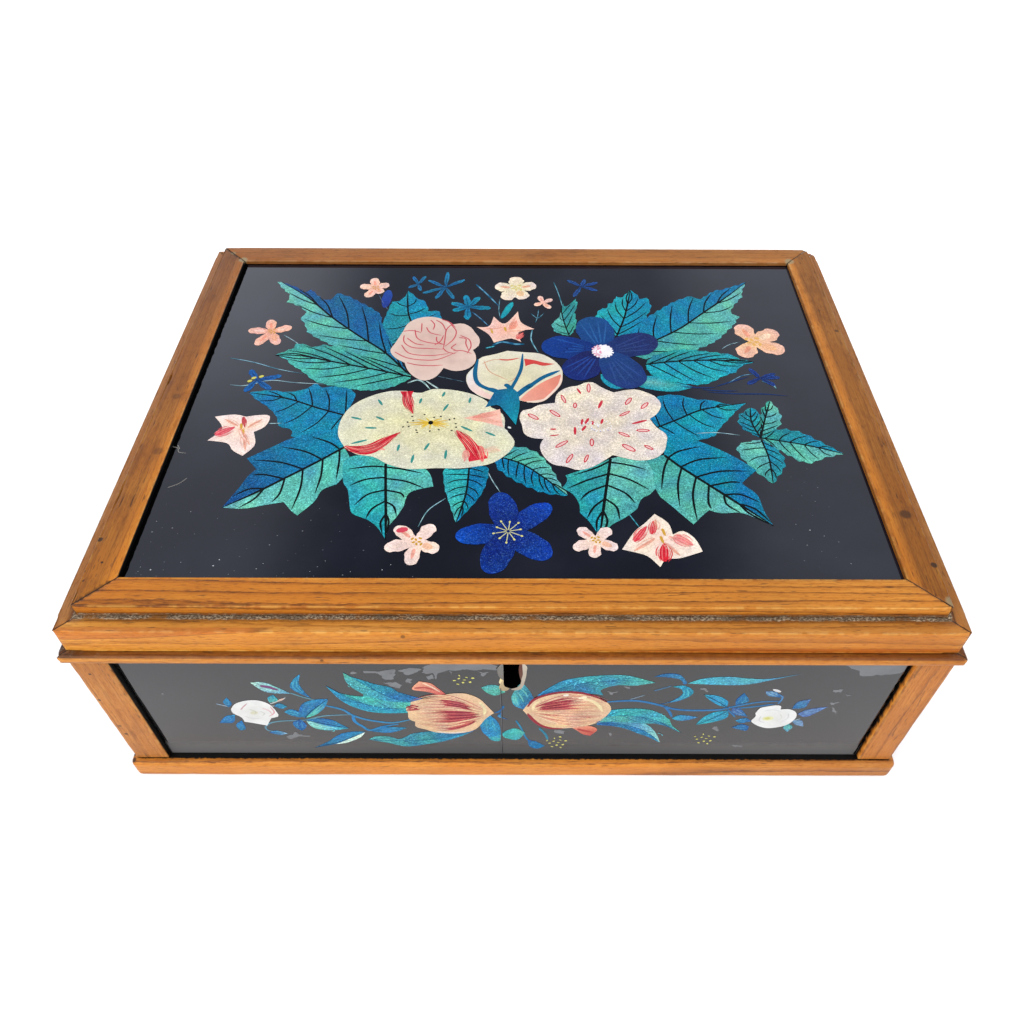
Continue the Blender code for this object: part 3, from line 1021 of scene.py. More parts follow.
# The leaf behind the rose, with three points.
leaf(lid, [(-44, 42), (-49, 56), (-51, 74)], [
    ([[(-44, 42), (-57, 33), (-60, 46), (-59, 57), (-57.5, 66)], [(-55, 66), (-52, 70), (-50.8, 75)]],
     deep_teal, azure),
    ([[(-44, 42), (-34, 48), (-34, 54)], [(-35, 58), (-36.5, 59)], [(-38.5, 57), (-40, 58)],
      [(-41, 63), (-43, 67.5)], [(-45.5, 68), (-47.5, 71), (-50.8, 75)]], azure, azure),
], 2, 4, 0.7, 0.2)

# The blue and green leaf in the lower left, with its lobes.
leaf(lid, [(-67, -14), (-80, -9), (-94, -3), (-110, 0.5)], [
    ([[(-67, -8), (-66, 0), (-72, 5), (-80, 4), (-83.5, 7)], [(-87, 3), (-94, 1), (-102, 2), (-110, 0.5)]],
     blue, azure),
    ([[(-67, -14), (-72, -26), (-80, -27), (-88, -26)], [(-88, -22.5), (-94, -20)],
      [(-96, -14), (-101, -8), (-106, -4), (-110, 0.5)]], azure, blue),
], 4, 5, 0.7, 0.25)
leaf(lid, [(-66, -32), (-75, -40), (-86, -49), (-96, -57), (-106, -64)], [
    ([[(-66, -32), (-68, -22), (-80, -24), (-89, -28)], [(-94, -32), (-98, -35), (-102.5, -38.5)],
      [(-99, -41), (-97, -43.5)], [(-100, -48), (-102, -54), (-106, -64)]], azure, dark_blue),
    ([[(-66, -32), (-62, -42), (-66, -52)], [(-71, -55), (-73, -61), (-78, -67.7)],
      [(-81, -65), (-83, -61)], [(-90, -62.5), (-98, -64.5), (-106, -64)]], fresh_teal, pale_teal),
], 6, 5, 0.9, 0.0, slant=0.2)

# The green leaf below the cream flower, the small blue one and the one that points to the right.
leaf(lid, [(-49, -41), (-47.5, -55), (-46, -68), (-45, -79)], [
    ([[(-49, -36), (-64, -38), (-64, -50), (-61.5, -55), (-59.5, -64)],
      [(-58, -67), (-52, -70), (-48, -74), (-45, -79)]],
     fresh_teal, cyan),
    ([[(-49, -36), (-38, -40), (-32, -46), (-30, -53)], [(-35, -54), (-39, -57), (-40, -63)],
      [(-42, -68), (-44.5, -73), (-45, -79)]], fresh_teal, pale_teal),
], 7, 5, 0.9, 0.0, slant=0.24)
leaf(lid, [(-17, -42), (-17.5, -55), (-19, -64), (-20.6, -71)], [
    ([[(-17, -42), (-26, -43), (-26, -52), (-24, -60), (-20.6, -71)]], cyan, fresh_teal),
    ([[(-17, -42), (-10, -43), (-10.5, -52), (-13.5, -60), (-20.6, -71)]], blue, azure),
], 6, 7, 0.6, 0.2)
leaf(lid, [(-6, -37), (3, -41), (11, -48), (20, -57.5)], [
    ([[(-6, -37), (1, -31.5), (9, -35), (14, -43), (17.5, -52), (20, -57.5)]], teal, pale_teal),
    ([[(-6, -37), (-7, -42), (-2, -48), (5, -53), (12, -56.5), (20, -57.5)]], blue, azure),
], 7, 8, 0.6, 0.45)

# The two lobed leaves below the white flower.
leaf(lid, [(37, -38), (35, -50), (33, -62), (30.5, -78)], [
    ([[(37, -38), (28, -43), (19.5, -47)], [(20, -50), (18, -53.5)], [(22, -57), (24, -62), (24, -66)],
      [(27, -70), (29, -74), (30.5, -78)]], teal, cyan),
    ([[(37, -38), (46, -36), (52, -42), (52.5, -54)], [(50, -57), (47, -59), (45, -64)],
      [(40, -68.5), (35, -72), (30.5, -78)]], pale_teal, teal),
], 7, 5, 0.95, 0.0, slant=0.24)
leaf(lid, [(58, -36), (64, -43), (73, -52), (83, -62), (93, -72)], [
    ([[(58, -36), (50, -38), (51, -48), (54, -58)], [(58, -63), (61, -67), (64.5, -71.5)],
      [(66.5, -67), (69, -63.5)],
      [(75, -66), (83, -66), (93, -72)]], teal, pale_teal),
    ([[(58, -36), (58, -26), (64, -24), (74, -29), (84, -36), (92, -44)], [(87, -45.5), (85, -49), (86, -52)],
      [(90, -57), (91, -65), (93, -72)]], azure, blue),
], 6, 6, 0.95, 0.0, slant=0.24)

# The blue leaf on the right and the teal sprig of four saw-edged leaves.
leaf(lid, [(57, -20), (66, -15), (77, -9), (95, -5)], [
    ([[(57, -20), (53, -10), (58, -2), (66, 0), (75, -3)], [(81, -3.5), (88, -6), (95, -5)]], blue, azure),
    ([[(57, -20), (62, -26), (70, -28), (79, -25)], [(82, -20), (86, -15), (90, -10), (95, -5)]], azure,
     cyan),
], 4, 5, 0.7, 0.25)
for rib, halves in (
    ([(97, -26), (101, -14), (105, -3.5)],
     [([[(97, -26), (98, -17), (101, -8), (105, -3.5)]], deep_teal, teal),
      ([[(97, -26), (105, -20), (107.5, -12), (105, -3.5)]], teal, pale_teal)]),
    ([(97, -26), (95, -17), (96, -8)],
     [([[(97, -26), (90.5, -20), (90.5, -13), (96, -8)]], azure, deep_teal),
      ([[(97, -26), (99.5, -17), (99, -11), (96, -8)]], deep_teal, azure)]),
    ([(97, -26), (110, -29), (120, -32), (127.5, -35)],
     [([[(97, -26), (104, -21), (113, -22.5), (121, -29), (127.5, -35)]], deep_teal, azure),
      ([[(97, -26), (104, -34), (112, -40), (120, -37), (127.5, -35)]], teal, pale_teal)]),
    ([(97, -27), (98, -38), (97, -51)],
     [([[(97, -27), (87.5, -30), (87.5, -37), (92, -45), (97, -51)]], pale_teal, teal),
      ([[(97, -27), (102.5, -33), (103.5, -41), (97, -51)]], azure, deep_teal)]),
):
    leaf(lid, rib, halves, 5, 5, 0.6, 0.5)

# The leaves round the navy flower: the cyan one behind it, the long one to the corner, the teal one
# that points right, a pale scrap of foil below and the small leaf on its left.
leaf(lid, [(45, 40), (50, 56), (54, 76)], [
    ([[(45, 40), (40, 47), (36.5, 55)], [(38, 59), (40, 61.5)], [(41.5, 61), (43, 65)], [(45, 66), (47, 71)],
      [(49.5, 70), (54, 76.5)]], cyan, cyan),
    ([[(45, 40), (56, 44), (60, 56)], [(62.5, 62), (61.5, 70)], [(58.5, 68), (57, 72), (54, 76.5)]], azure,
     azure),
], 2, 5, 0.7, 0.3, slant=0.3)
leaf(lid, [(50, 28), (62, 37), (74, 46), (86, 58), (98, 70), (110, 83)], [
    ([[(50, 28), (50, 40), (58, 52), (66, 60), (74, 67), (82, 71.5)], [(86, 69), (90, 72.5), (94, 76)],
      [(98, 77), (104, 80), (110, 83)]], azure, blue),
    ([[(50, 28), (56, 24), (68, 27), (80, 31), (89, 37), (94, 43)], [(98, 48), (102, 55)],
      [(99, 57), (100, 62), (106, 71)],
      [(107, 76), (110, 83)]], teal, pale_teal),
], 4, 6, 0.8, 0.4)
leaf(lid, [(56, 20), (68, 22), (84, 23), (103, 22)], [
    ([[(56, 20), (60, 26), (72, 30.5), (84, 29), (94, 27)], [(97, 24), (103, 22)]], deep_teal, cyan),
    ([[(56, 20), (58, 13), (68, 8), (78, 6.5), (84, 9)], [(88, 12), (94, 15)], [(97, 19), (103, 22)]], cyan,
     cyan),
], 7, 6, 0.75, 0.35, slant=0.28)
area(lid, (58, 8), [
    [(46, 12), (37, 14), (37, 8), (42, 3.5), (50, 6)], [(56, 3.5), (66, 2), (75, 5)],
    [(68, 8), (60, 12), (46, 12)],
], 2.5, (pale_teal, cyan), 3)
leaf(lid, [(24, 40), (22, 50), (21, 60), (22, 66)], [
    ([[(24, 40), (18, 43), (16.5, 49), (20, 55), (22, 66)]], teal, pale_teal),
    ([[(24, 40), (27, 46), (27.5, 52), (27, 58)], [(28.5, 64), (28, 69)], [(25, 62), (22, 58)]], teal,
     deep_teal),
], 3, 4, 0.5, 0.4)

# The pale rose: one body of opaque paint, its petals drawn with thin crimson lines.
rose_pink, rose_edge, rose_line = (208, 172, 160), (222, 196, 182), (196, 84, 92)
area(lid, (-36, 32), [
    [(-29, 48), (-32, 51.5), (-38, 54), (-44, 53), (-48.5, 49), (-50.5, 42), (-53, 34), (-54.5, 29),
     (-52, 24), (-47.5, 20.5)],
    [(-45.5, 15), (-42, 10.5), (-38, 8.5), (-33.5, 11), (-30.5, 17)],
    [(-26, 15), (-21, 16), (-17.5, 20), (-17, 25), (-18.5, 29.5)],
    [(-16, 33), (-16, 38), (-18, 42), (-20, 46), (-24, 49), (-29, 48)],
], 2.0, (rose_pink, rose_edge), 14, 0.04, 6)
for line in (
    [(-49.5, 40), (-49, 35), (-45, 31.2), (-38, 30.5), (-31.5, 30)],
    [(-52.5, 28), (-47, 24), (-40, 22.4), (-33, 23), (-25, 28.5)],
    [(-29, 48), (-31, 44), (-31.2, 37), (-31.5, 31)], [(-29, 48), (-26.5, 43), (-27.5, 37), (-31, 32)],
    [(-25, 38.5), (-22, 37.5), (-21.8, 34), (-20.3, 29)], [(-38.5, 51.5), (-36.5, 48), (-37, 44)],
    [(-36, 51.5), (-33, 48.5), (-31, 43)], [(-50, 43), (-46, 43.5), (-42, 42)], [(-42.3, 49), (-42, 42.5)],
    [(-35, 39), (-34.5, 35.5), (-31, 33)], [(-31.8, 31), (-29.5, 28), (-26, 27)],
    [(-48, 38), (-44, 34), (-40, 33)], [(-26, 34), (-28, 31), (-26, 29.5)],
    [(-45, 44), (-43.5, 38), (-39, 35), (-32, 33.5)], [(-40, 46), (-38, 42), (-33, 40)],
    [(-24.5, 40), (-20.5, 37), (-19.5, 32), (-21, 27)], [(-50, 33), (-46, 27), (-37, 25.5), (-29, 27)],
    [(-27, 29), (-23, 29), (-19, 27)], [(-46.5, 20.5), (-42, 19), (-36, 18.5), (-31, 19)],
    [(-33.5, 52), (-30, 50), (-27, 46)], [(-35.5, 33), (-33, 36), (-32, 40)],
):
    stroke(lid, line, 0.55, rose_line, 15, ends=(0.7, 0.4))

# The cream flower: cream paint over foil, with crimson flames, teal dashes and a ring of stamens.
cream, cream_edge, dash_teal = (216, 208, 160), (214, 212, 186), (52, 140, 132)
heart = (-33.5, -17.8)
area(lid, heart, [
    [(-45, 1.8), (-52, 1.5), (-60, -2), (-66.5, -8), (-69.5, -16), (-69.5, -25), (-66, -32)],
    [(-61, -36), (-54, -37.5), (-48, -41.5), (-40, -44), (-30, -43.5), (-20, -43.5), (-12, -42)],
    [(-9, -41), (-5, -38), (-1, -33), (0, -28), (-4, -21)], [(-4, -15), (-6, -11), (-9.5, -8.5)],
    [(-12, -4), (-18, 0), (-26, 2.5), (-34, 3), (-39, 0.5), (-45, 1.8)],
], 2.2, (cream, cream_edge), 14, 0.42, 8)
fill(lid, [Vector((-20.5, -15)), Vector((-6, -9.5))],
     edge_line([[(-20.5, -15), (-12, -17.5), (-4.5, -20.5)]], 2.0),
     ((236, 178, 156), (238, 186, 168)), 15, 0.2)
for upper, lower in (
    ([(-47.5, 1.5), (-46, -2), (-43.5, -8), (-41, -12.5)],
     [(-42, 1.6), (-42.8, -3), (-42, -8), (-41, -12.5)]),
    ([(-66, -31.5), (-58, -31), (-52, -27), (-45, -23.3)],
     [(-66, -31.5), (-60, -36), (-53, -34.5), (-45, -23.3)]),
    ([(-23, -22.3), (-20.5, -29), (-18.5, -34), (-17.3, -40)],
     [(-23, -22.3), (-17, -27), (-13.5, -32), (-10, -38)]),
):
    blade(lid, upper, lower, (crimson, (206, 40, 56)), 15, 0.3, 14)
    middle = line_between(upper, lower, 0.5)
    feather(lid, middle, 3.8, (crimson, (224, 96, 96), (150, 10, 32), (238, 150, 138)), 15.6, 0.3, 13)
for root, tip, width, color in (
    ((-14, -31), (-12, -40), 4.6, (226, 110, 108)), ((-18.5, -33), (-19, -40), 2.4, (232, 150, 140)),
    ((-58, -31.5), (-50, -33.5), 2.6, (232, 140, 132)), ((-17, -14.6), (-5.5, -12), 2.4, (224, 132, 120)),
    ((-17, -15.6), (-5, -17.5), 2.0, (230, 156, 140)), ((-11, -33), (-5, -34), 3.0, (222, 190, 170)),
):
    middle = Vector(root).lerp(Vector(tip), 0.5) + Vector((0.2, 0.3))
    feather(lid, (root, middle, tip), width, (color, blend_color(color, cream, 0.4)), 15.2, 0.3)
for x, y, turn, length in (
    (-55, -5.5, -60, 4.5), (-63.5, -15.3, -18, 5), (-54, -15.3, -30, 4.5), (-57, -21, -2, 5),
    (-60.5, -29, 20, 7), (-38.6, -4.5, 80, 3.6), (-29.4, -0.3, 75, 3.4), (-18.4, -4, 82, 3.8),
    (-28, -8.5, 66, 5), (-12, -12.3, 4, 4.4), (-19, -21.3, -32, 6), (-9.5, -24.3, -30, 5),
    (-45, -32.3, 84, 4), (-34, -31.6, 68, 4.6), (-26.4, -36, 88, 5.4), (-39, -38.5, 84, 5),
):
    spot(lid, (x, y), (length, 1.15), dash_teal, 15, turn)
for index in range(26):
    turn = math.tau * index / 26 + 0.12 * math.sin(index * 3.7)
    ray = 5.6 + 1.6 * math.sin(5 * index)
    tip = (heart[0] + ray * 1.25 * math.cos(turn), heart[1] - 0.4 + ray * 0.50 * math.sin(turn))
    stroke(lid, [heart, tip], 0.55, ((226, 196, 72), (214, 172, 56))[index % 2], 15, ends=(0.9, 0.3))
    if index % 3 != 1:
        dot = (heart[0] + (ray + 2.4) * 1.25 * math.cos(turn),
               heart[1] - 0.6 + (ray + 2.2) * 0.62 * math.sin(turn))
        spot(lid, dot, (1.0, 0.75), line_black, 16, 40 * index)
spot(lid, heart, (2.1, 2.4), line_black, 16)

# The bud: a cream body between a white petal and a salmon one, held by teal sepals on a short calyx.
sepal, sepal_light = (8, 92, 132), (10, 140, 160)
area(lid, (1, 11), [
    [(-3.5, 29), (-9, 26.5), (-15, 24), (-17.5, 18), (-20.5, 12), (-19.5, 5), (-15, -1), (-9, -4)],
    [(-2, -2), (2, -4)], [(9, -5.5), (13.5, -2), (17.5, 5), (20, 11)],
    [(20, 16), (17, 22), (11, 27), (4, 28), (-3.5, 29)],
], 2.0, ((212, 204, 166), (224, 217, 195)), 16, 0.2, 6)
blade(lid, [(-18, 17), (-17.5, 10), (-14, 3), (-8, -2)], [(-19, 15), (-20.3, 10), (-18, 2), (-9, -4)],
      ((226, 228, 222), (238, 196, 184)), 17, 0.1, 12)
blade(lid, [(19.3, 13), (12, 8), (6, 2), (2, -3.5)], [(19.6, 8), (16, 2), (12, -3), (4, -4.8)],
      ((224, 132, 112), (232, 160, 140)), 17, 0.1, 12)
stroke(lid, [(19.8, 12), (18.5, 6), (14.5, -0.5), (11, -4.2), (5, -5)], 1.1, (240, 214, 196), 18,
       ends=(0.5, 0.5))
blade(lid, [(3.8, 23.5), (8, 22.6), (12, 21), (17, 20)], [(4.4, 18.3), (8, 20), (12, 18.6), (17, 20)],
      ((203, 66, 62), (206, 78, 72)), 17, 0, 10)
stroke(lid, [(-7, 23), (-3, 22.6), (2, 24)], 0.9, (205, 80, 70), 17)
for line in (
    [(-13.5, 22), (-11, 15), (-6, 11), (-3, 9)], [(2.5, 14), (-1, 9), (-3, 8)],
    [(-14, 20), (-10, 22.5), (-5, 23)],
):
    stroke(lid, line, 0.4, (208, 150, 120), 17)
for line, width in (
    ([(-16, 23), (-17, 14), (-15.3, 6.5), (-9, 2), (-3, -1)], 1.9),
    ([(3.2, 27), (2.6, 17), (0.8, 10), (-1.5, 3), (-1.5, -3)], 1.5),
    ([(19, 15.5), (12, 11), (7, 6), (0, -1)], 2.0), ([(-12.5, 3.5), (-9, 3), (-4, 0)], 1.4),
    ([(8, 7), (4, 3), (0, -2)], 2.6), ([(-4.5, 6), (-2.5, 4.5), (0, -2)], 2.2),
):
    stroke(lid, line, width, sepal, 18, 0.15, (0.25, 0.8))
blade(lid, [(-12, -8.5), (-7, -7), (-4, -11), (0.5, -19)], [(-8, 2.5), (0, 3), (2, -6), (0.5, -19)],
      (sepal, sepal_light), 19, 0.6, 12, 5)

# The white flower: pearly white paint over foil with a scalloped edge, and small crimson ovals.
white_heart, pearl, pearl_edge, oval_red = (32, -19), (212, 198, 180), (222, 210, 196), (198, 52, 68)
area(lid, white_heart, [
    [(41, 1.2), (38, 3), (35.5, 5), (33, 7.6), (29.5, 7.6), (26.5, 5.6), (22.5, 4.6), (19, 2.2), (17, -1),
     (16.5, -5.5)],
    [(13.5, -6), (9.5, -7), (6.5, -9.3), (3, -10.5), (2, -15), (3, -19), (3.8, -24), (7, -26.5), (11.5, -27)],
    [(10, -31), (11, -36), (14.5, -41), (20, -42.5), (24, -44.2), (29, -43), (34, -39.5), (38, -36)],
    [(42, -37.5), (48, -39), (54, -37.8), (58, -34), (59.5, -29), (60, -24.5), (56.5, -20), (54.3, -15)],
    [(57.5, -12), (59.8, -6.5), (58, -1.5), (54, 1.6), (50, 3.2), (45.5, 2.6), (41, 1.2)],
], 1.8, (pearl, pearl_edge), 14, 0.55, 9)
for x, y, length, width, turn in (
    (7.5, -14, 5.6, 2.2, -38), (16.3, -12, 6, 2, -45), (20, -3, 5.6, 1.6, -72), (24.6, -7, 3.6, 1.7, 86),
    (26.6, 2, 4, 1, -68), (30.7, 4, 6, 1.8, 88), (35, -6.3, 5.6, 1.3, 70), (46.6, -4.3, 5.4, 2, 58),
    (53, -7, 5.2, 2, 50), (44.5, -12, 5.6, 1.5, 34), (50, -17, 7, 1.2, 20), (51, -22, 5.6, 1.8, -2),
    (43.3, -24.4, 5.2, 1.7, -30), (44.5, -32, 6.4, 2.5, -38), (52.3, -31.7, 4.2, 1.7, -36),
    (30.3, -29, 4.6, 1.8, 88), (18.5, -30, 6.6, 1.9, 38), (21.3, -38, 5.8, 1.7, 62),
    (27.7, -38, 4.8, 1.5, 70), (15.4, -21.4, 2.6, 0.9, 0), (15.8, -25, 4, 0.7, 10), (24, -22.3, 4.8, 1.2, 88),
    (27, -17, 3.6, 1.1, 80), (29, -16.5, 4, 1.2, 66), (31.2, -17.6, 2.4, 1.2, 88), (35, -16.7, 3.4, 1.1, 74),
    (27.6, -20.8, 3.6, 1.2, 60),
):
    spot(lid, (x, y), (length, width), oval_red, 15, turn, segments=12)
    if width > 1.4:
        spot(lid, (x, y), (length - 1.3, width - 0.9), (236, 190, 184), 16, turn, segments=12)
for index in range(40):
    reach = 1.0 + 4.8 * ((index * 0.7548) % 1)
    turn = index * 2.4
    place = (white_heart[0] + reach * 1.3 * math.cos(turn), -20 + reach * 0.8 * math.sin(turn))
    color = ((240, 242, 250), (150, 150, 190))[index % 5 == 0]
    spot(lid, place, (0.7, 0.5), color, 16, index * 31, segments=6)

# The navy flower: five dark blue petals and a white and pink heart.
for root, tip, width, root_color, tip_color, level in (
    ((38, 28), (34, 54.5), 16.5, (14, 52, 116), (22, 76, 132), 12),
    ((36, 30), (11.5, 33), 15.5, (10, 38, 104), (8, 56, 136), 12),
    ((38, 28), (62.5, 38), 16, (20, 46, 106), (30, 38, 90), 13),
    ((37, 29), (23, 10.5), 15.5, (24, 24, 74), (16, 42, 120), 13),
    ((39, 29), (51, 4.5), 17.5, (22, 60, 120), (28, 50, 110), 14),
):
    petal(lid, root, tip, width, (root_color, tip_color), level, 0.35, 0.22)
    for hand in (-0.5, -0.2, 0.12, 0.42):
        reach = Vector(tip) - Vector(root)
        side = Vector((-reach.y, reach.x)) * hand * 0.5
        start, end = Vector(root) + reach * 0.25 + side * 0.3, Vector(root) + reach * 0.86 + side
        shade = blend_color(tip_color, (70, 120, 190), 0.25)
        stroke(lid, (start, end), 0.8, shade, level + 0.5, 0.3, (0.2, 0.1))
for index in range(110):
    reach = 4.6 * math.sqrt(((index * 0.7548) % 1))
    turn = index * 2.4
    place = (38 + reach * math.cos(turn), 29 + reach * math.sin(turn))
    color = ((244, 240, 244), (228, 160, 178))[place[0] < 37.5 and index % 2 == 0]
    spot(lid, place, (1.7 - 0.15 * reach, 1.2), color, 15, index * 40, segments=6)

# The royal blue flower: five round foil petals with yellow stamens.
blue_heart = (-1.8, -75)
for tip, width, tone_color in (
    ((-5.5, -56), 10.5, (12, 56, 150)), ((13.5, -62), 9, (10, 68, 172)), ((-20.5, -77.5), 9.5, (4, 76, 186)),
    ((13, -87), 10.5, (8, 62, 160)), ((-8.5, -94), 11, (8, 50, 138)),
):
    petal(lid, blue_heart, tip, width, ((6, 24, 92), tone_color), 10 + 0.4 * (width > 10), 0.85, 0.08)
for index in range(10):
    turn = math.tau * index / 10 + 0.2
    ray = Vector((math.cos(turn), math.sin(turn)))
    stamen = (Vector(blue_heart) + ray * 0.6, Vector(blue_heart) + ray * 4.6)
    stroke(lid, stamen, 0.34, (206, 206, 150), 12, ends=(0.7, 0.7))
    place = Vector(blue_heart) + ray * (4.4 + 0.9 * (index % 2))
    spot(lid, place, (1.1, 0.8), (216, 212, 130), 13, math.degrees(turn))

# The small flowers: pink and white ones round the edge, and blue ones drawn with single strokes.
blush, salmon, white_pink = (238, 204, 186), (232, 172, 154), (240, 218, 208)
small_flower(lid, (-66.5, 77), [(-68, 85.5), (-60.5, 80.5), (-63, 73), (-70, 69.5), (-74, 79)], 5.5,
             (salmon, blush), 6)
small_flower(lid, (-109, 42.5), [(-111, 51.5), (-100.5, 46), (-104.5, 33), (-114, 32.5), (-119.5, 43.5)], 5.6,
             ((226, 158, 134), (232, 184, 166)), 6)
small_flower(lid, (-34, -80), [(-42, -73), (-28.5, -72), (-26, -84), (-35.5, -90.5), (-45, -83)], 6.4,
             (blush, white_pink), 6, (196, 150, 40), 0.4)
small_flower(lid, (29, -79), [(23, -73.5), (34.5, -73.5), (36.5, -83), (28, -87), (21, -83)], 5.4,
             (blush, white_pink), 9, (196, 150, 40), 0.4)
small_flower(lid, (105, 36), [(101, 49), (117, 44), (117.5, 29), (98.5, 25.5)], 10.5,
             ((238, 190, 140), (228, 178, 164)), 6, (226, 176, 96))
small_flower(lid, (0, 77.5), [(-10, 79), (-5.5, 68), (4, 68.5), (9.5, 80), (0, 87)], 8.5,
             ((218, 210, 162), white_pink), 6, (214, 196, 120))
small_flower(lid, (12.5, 65.5), [(11, 71), (17, 68.5), (16, 61), (8.5, 63.5)], 3.2, (salmon, blush), 6, None)
spot(lid, (-39.5, -74.5), (4.5, 2.6), (214, 74, 92), 7.5, 15)
for runs, colors, center, level in (
    ([[(-108, -14.5), (-113, -13.2), (-120.5, -14.5)], [(-117, -19), (-116, -22.5), (-120, -28.5)],
      [(-112, -30), (-109, -34), (-104.5, -37)], [(-101, -31), (-103, -23.5)],
      [(-99, -20), (-98.5, -14), (-103, -13.5), (-108, -14.5)]],
     (blush, white_pink), (-108, -22), 6),
    ([[(51, -66.5), (47, -71), (43, -75), (38, -83.2)], [(44, -85), (47, -86.5), (50.5, -91)],
      [(53, -87.5), (58, -87), (66, -84)], [(64, -78), (60, -74.5), (56.5, -77)], [(55.5, -71), (51, -66.5)]],
     (blush, (240, 224, 206)), (52, -79), 6),
    ([[(-5, 37), (-9.5, 35)], [(-12, 41), (-17.5, 46.5)], [(-12, 47), (-10, 54.5)], [(-5, 49), (1, 58.5)],
      [(2.5, 50), (8.5, 45)], [(1.5, 43), (2.5, 35.5)], [(-1.5, 38), (-5, 37)]],
     (salmon, (238, 196, 180)), (-4.5, 45), 8),
):
    area(lid, center, runs, 1.6, colors, level, 0.35)
for place, size, turn, color in (
    ((-114.5, -23), (7.5, 4), 35, (216, 76, 92)), ((45, -76), (8, 3), 55, (214, 58, 70)),
    ((49.6, -73), (6, 2.2), 80, (210, 52, 62)), ((52.5, -84.5), (7.5, 4.4), 84, (208, 34, 50)),
    ((60, -79), (7, 4), -35, (226, 124, 120)), ((2, 40), (5, 2.4), 60, (206, 84, 84)),
    ((-1, 48), (7, 2.6), 68, (226, 130, 110)),
):
    reach = Vector((math.cos(math.radians(turn)), math.sin(math.radians(turn)))) * size[0] * 0.55
    line = (Vector(place) - reach, Vector(place), Vector(place) + reach)
    feather(lid, line, size[1] * 1.15, (color, blend_color(color, (240, 190, 176), 0.45)), 9, 0.3)
feather(lid, [(-109, -14.5), (-108, -17.5), (-107, -21)], 1.6, ((176, 40, 60), (206, 96, 90)), 9)
soft_pinks = ((226, 170, 150), (240, 212, 196), (214, 140, 120))
for root, tip in (
    ((-109, -21), (-103, -31)), ((-106, -21), (-101, -16)), ((-110, -20), (-116, -16)),
    ((-107, -24), (-104, -34)), ((53, -80), (58, -86)), ((50, -78), (42, -84)), ((51, -74), (51, -69)),
    ((55, -77), (62, -82)), ((-3, 44), (0, 54)), ((-6, 46), (-14, 45)), ((-4, 43), (4, 44)),
):
    feather(lid, (root, Vector(root).lerp(Vector(tip), 0.5), tip), 2.4, soft_pinks, 8.6, 0.4, 5)
for place in ((-109, -20), (-107.5, -23), (53, -75), (52, -78.5), (-5, 45), (-11, 43.5)):
    stroke(lid, [(place[0], place[1] + 1.5), (place[0] + 0.8, place[1] - 2)], 1.0, (206, 158, 60), 9)
for center, tips, width, color in (
    ((-33.5, 78), [(-33, 91), (-24.5, 84.5), (-29, 68.5), (-37.5, 68.5), (-44, 73), (-42, 84)], 2.0,
     (24, 118, 160)),
    ((-46.5, 80.5), [(-49.5, 87), (-43.5, 87.5), (-45, 75), (-51, 77.5)], 1.8, (26, 112, 160)),
    ((-22, 62), [(-23.5, 71.5), (-17, 70), (-11.5, 61), (-22, 52), (-29, 59), (-30, 65)], 3.0, (8, 134, 164)),
    ((-108.5, 8.5), [(-112.5, 15.5), (-98.5, 11.5), (-101.5, 2.5), (-112, 1)], 2.8, (8, 90, 160)),
    ((31, 79), [(24.5, 84.5), (33, 85), (39, 82.5), (38.5, 75.5), (27, 70.5)], 2.0, (30, 72, 136)),
    ((103.5, 11), [(97.5, 7), (100, 17.5), (110.5, 14), (112, 11.5), (109, 6)], 2.2, (24, 52, 122)),
):
    for tip in tips:
        petal(lid, center, tip, width, (blend_color(color, (14, 44, 100), 0.45), color), 5, 0.8, 0.3, 0.1)
        crease = (center, Vector(center).lerp(Vector(tip), 0.8))
        stroke(lid, crease, 0.4, blend_color(color, (10, 20, 50), 0.5), 6, ends=(0.6, 0.2))
for place in ((-111.3, 8), (-107, 11), (-110, 10)):
    spot(lid, place, (2.2, 1.6), (206, 200, 96), 6, 30)
petal(lid, (-60.5, 61), (-60, 75.5), 4.6, ((28, 50, 130), (34, 74, 160)), 5, 0.3, 0.1)
petal(lid, (-6.5, 53), (-1.5, 66), 3.0, (cyan, cyan), 5, 0.7, 0.1)

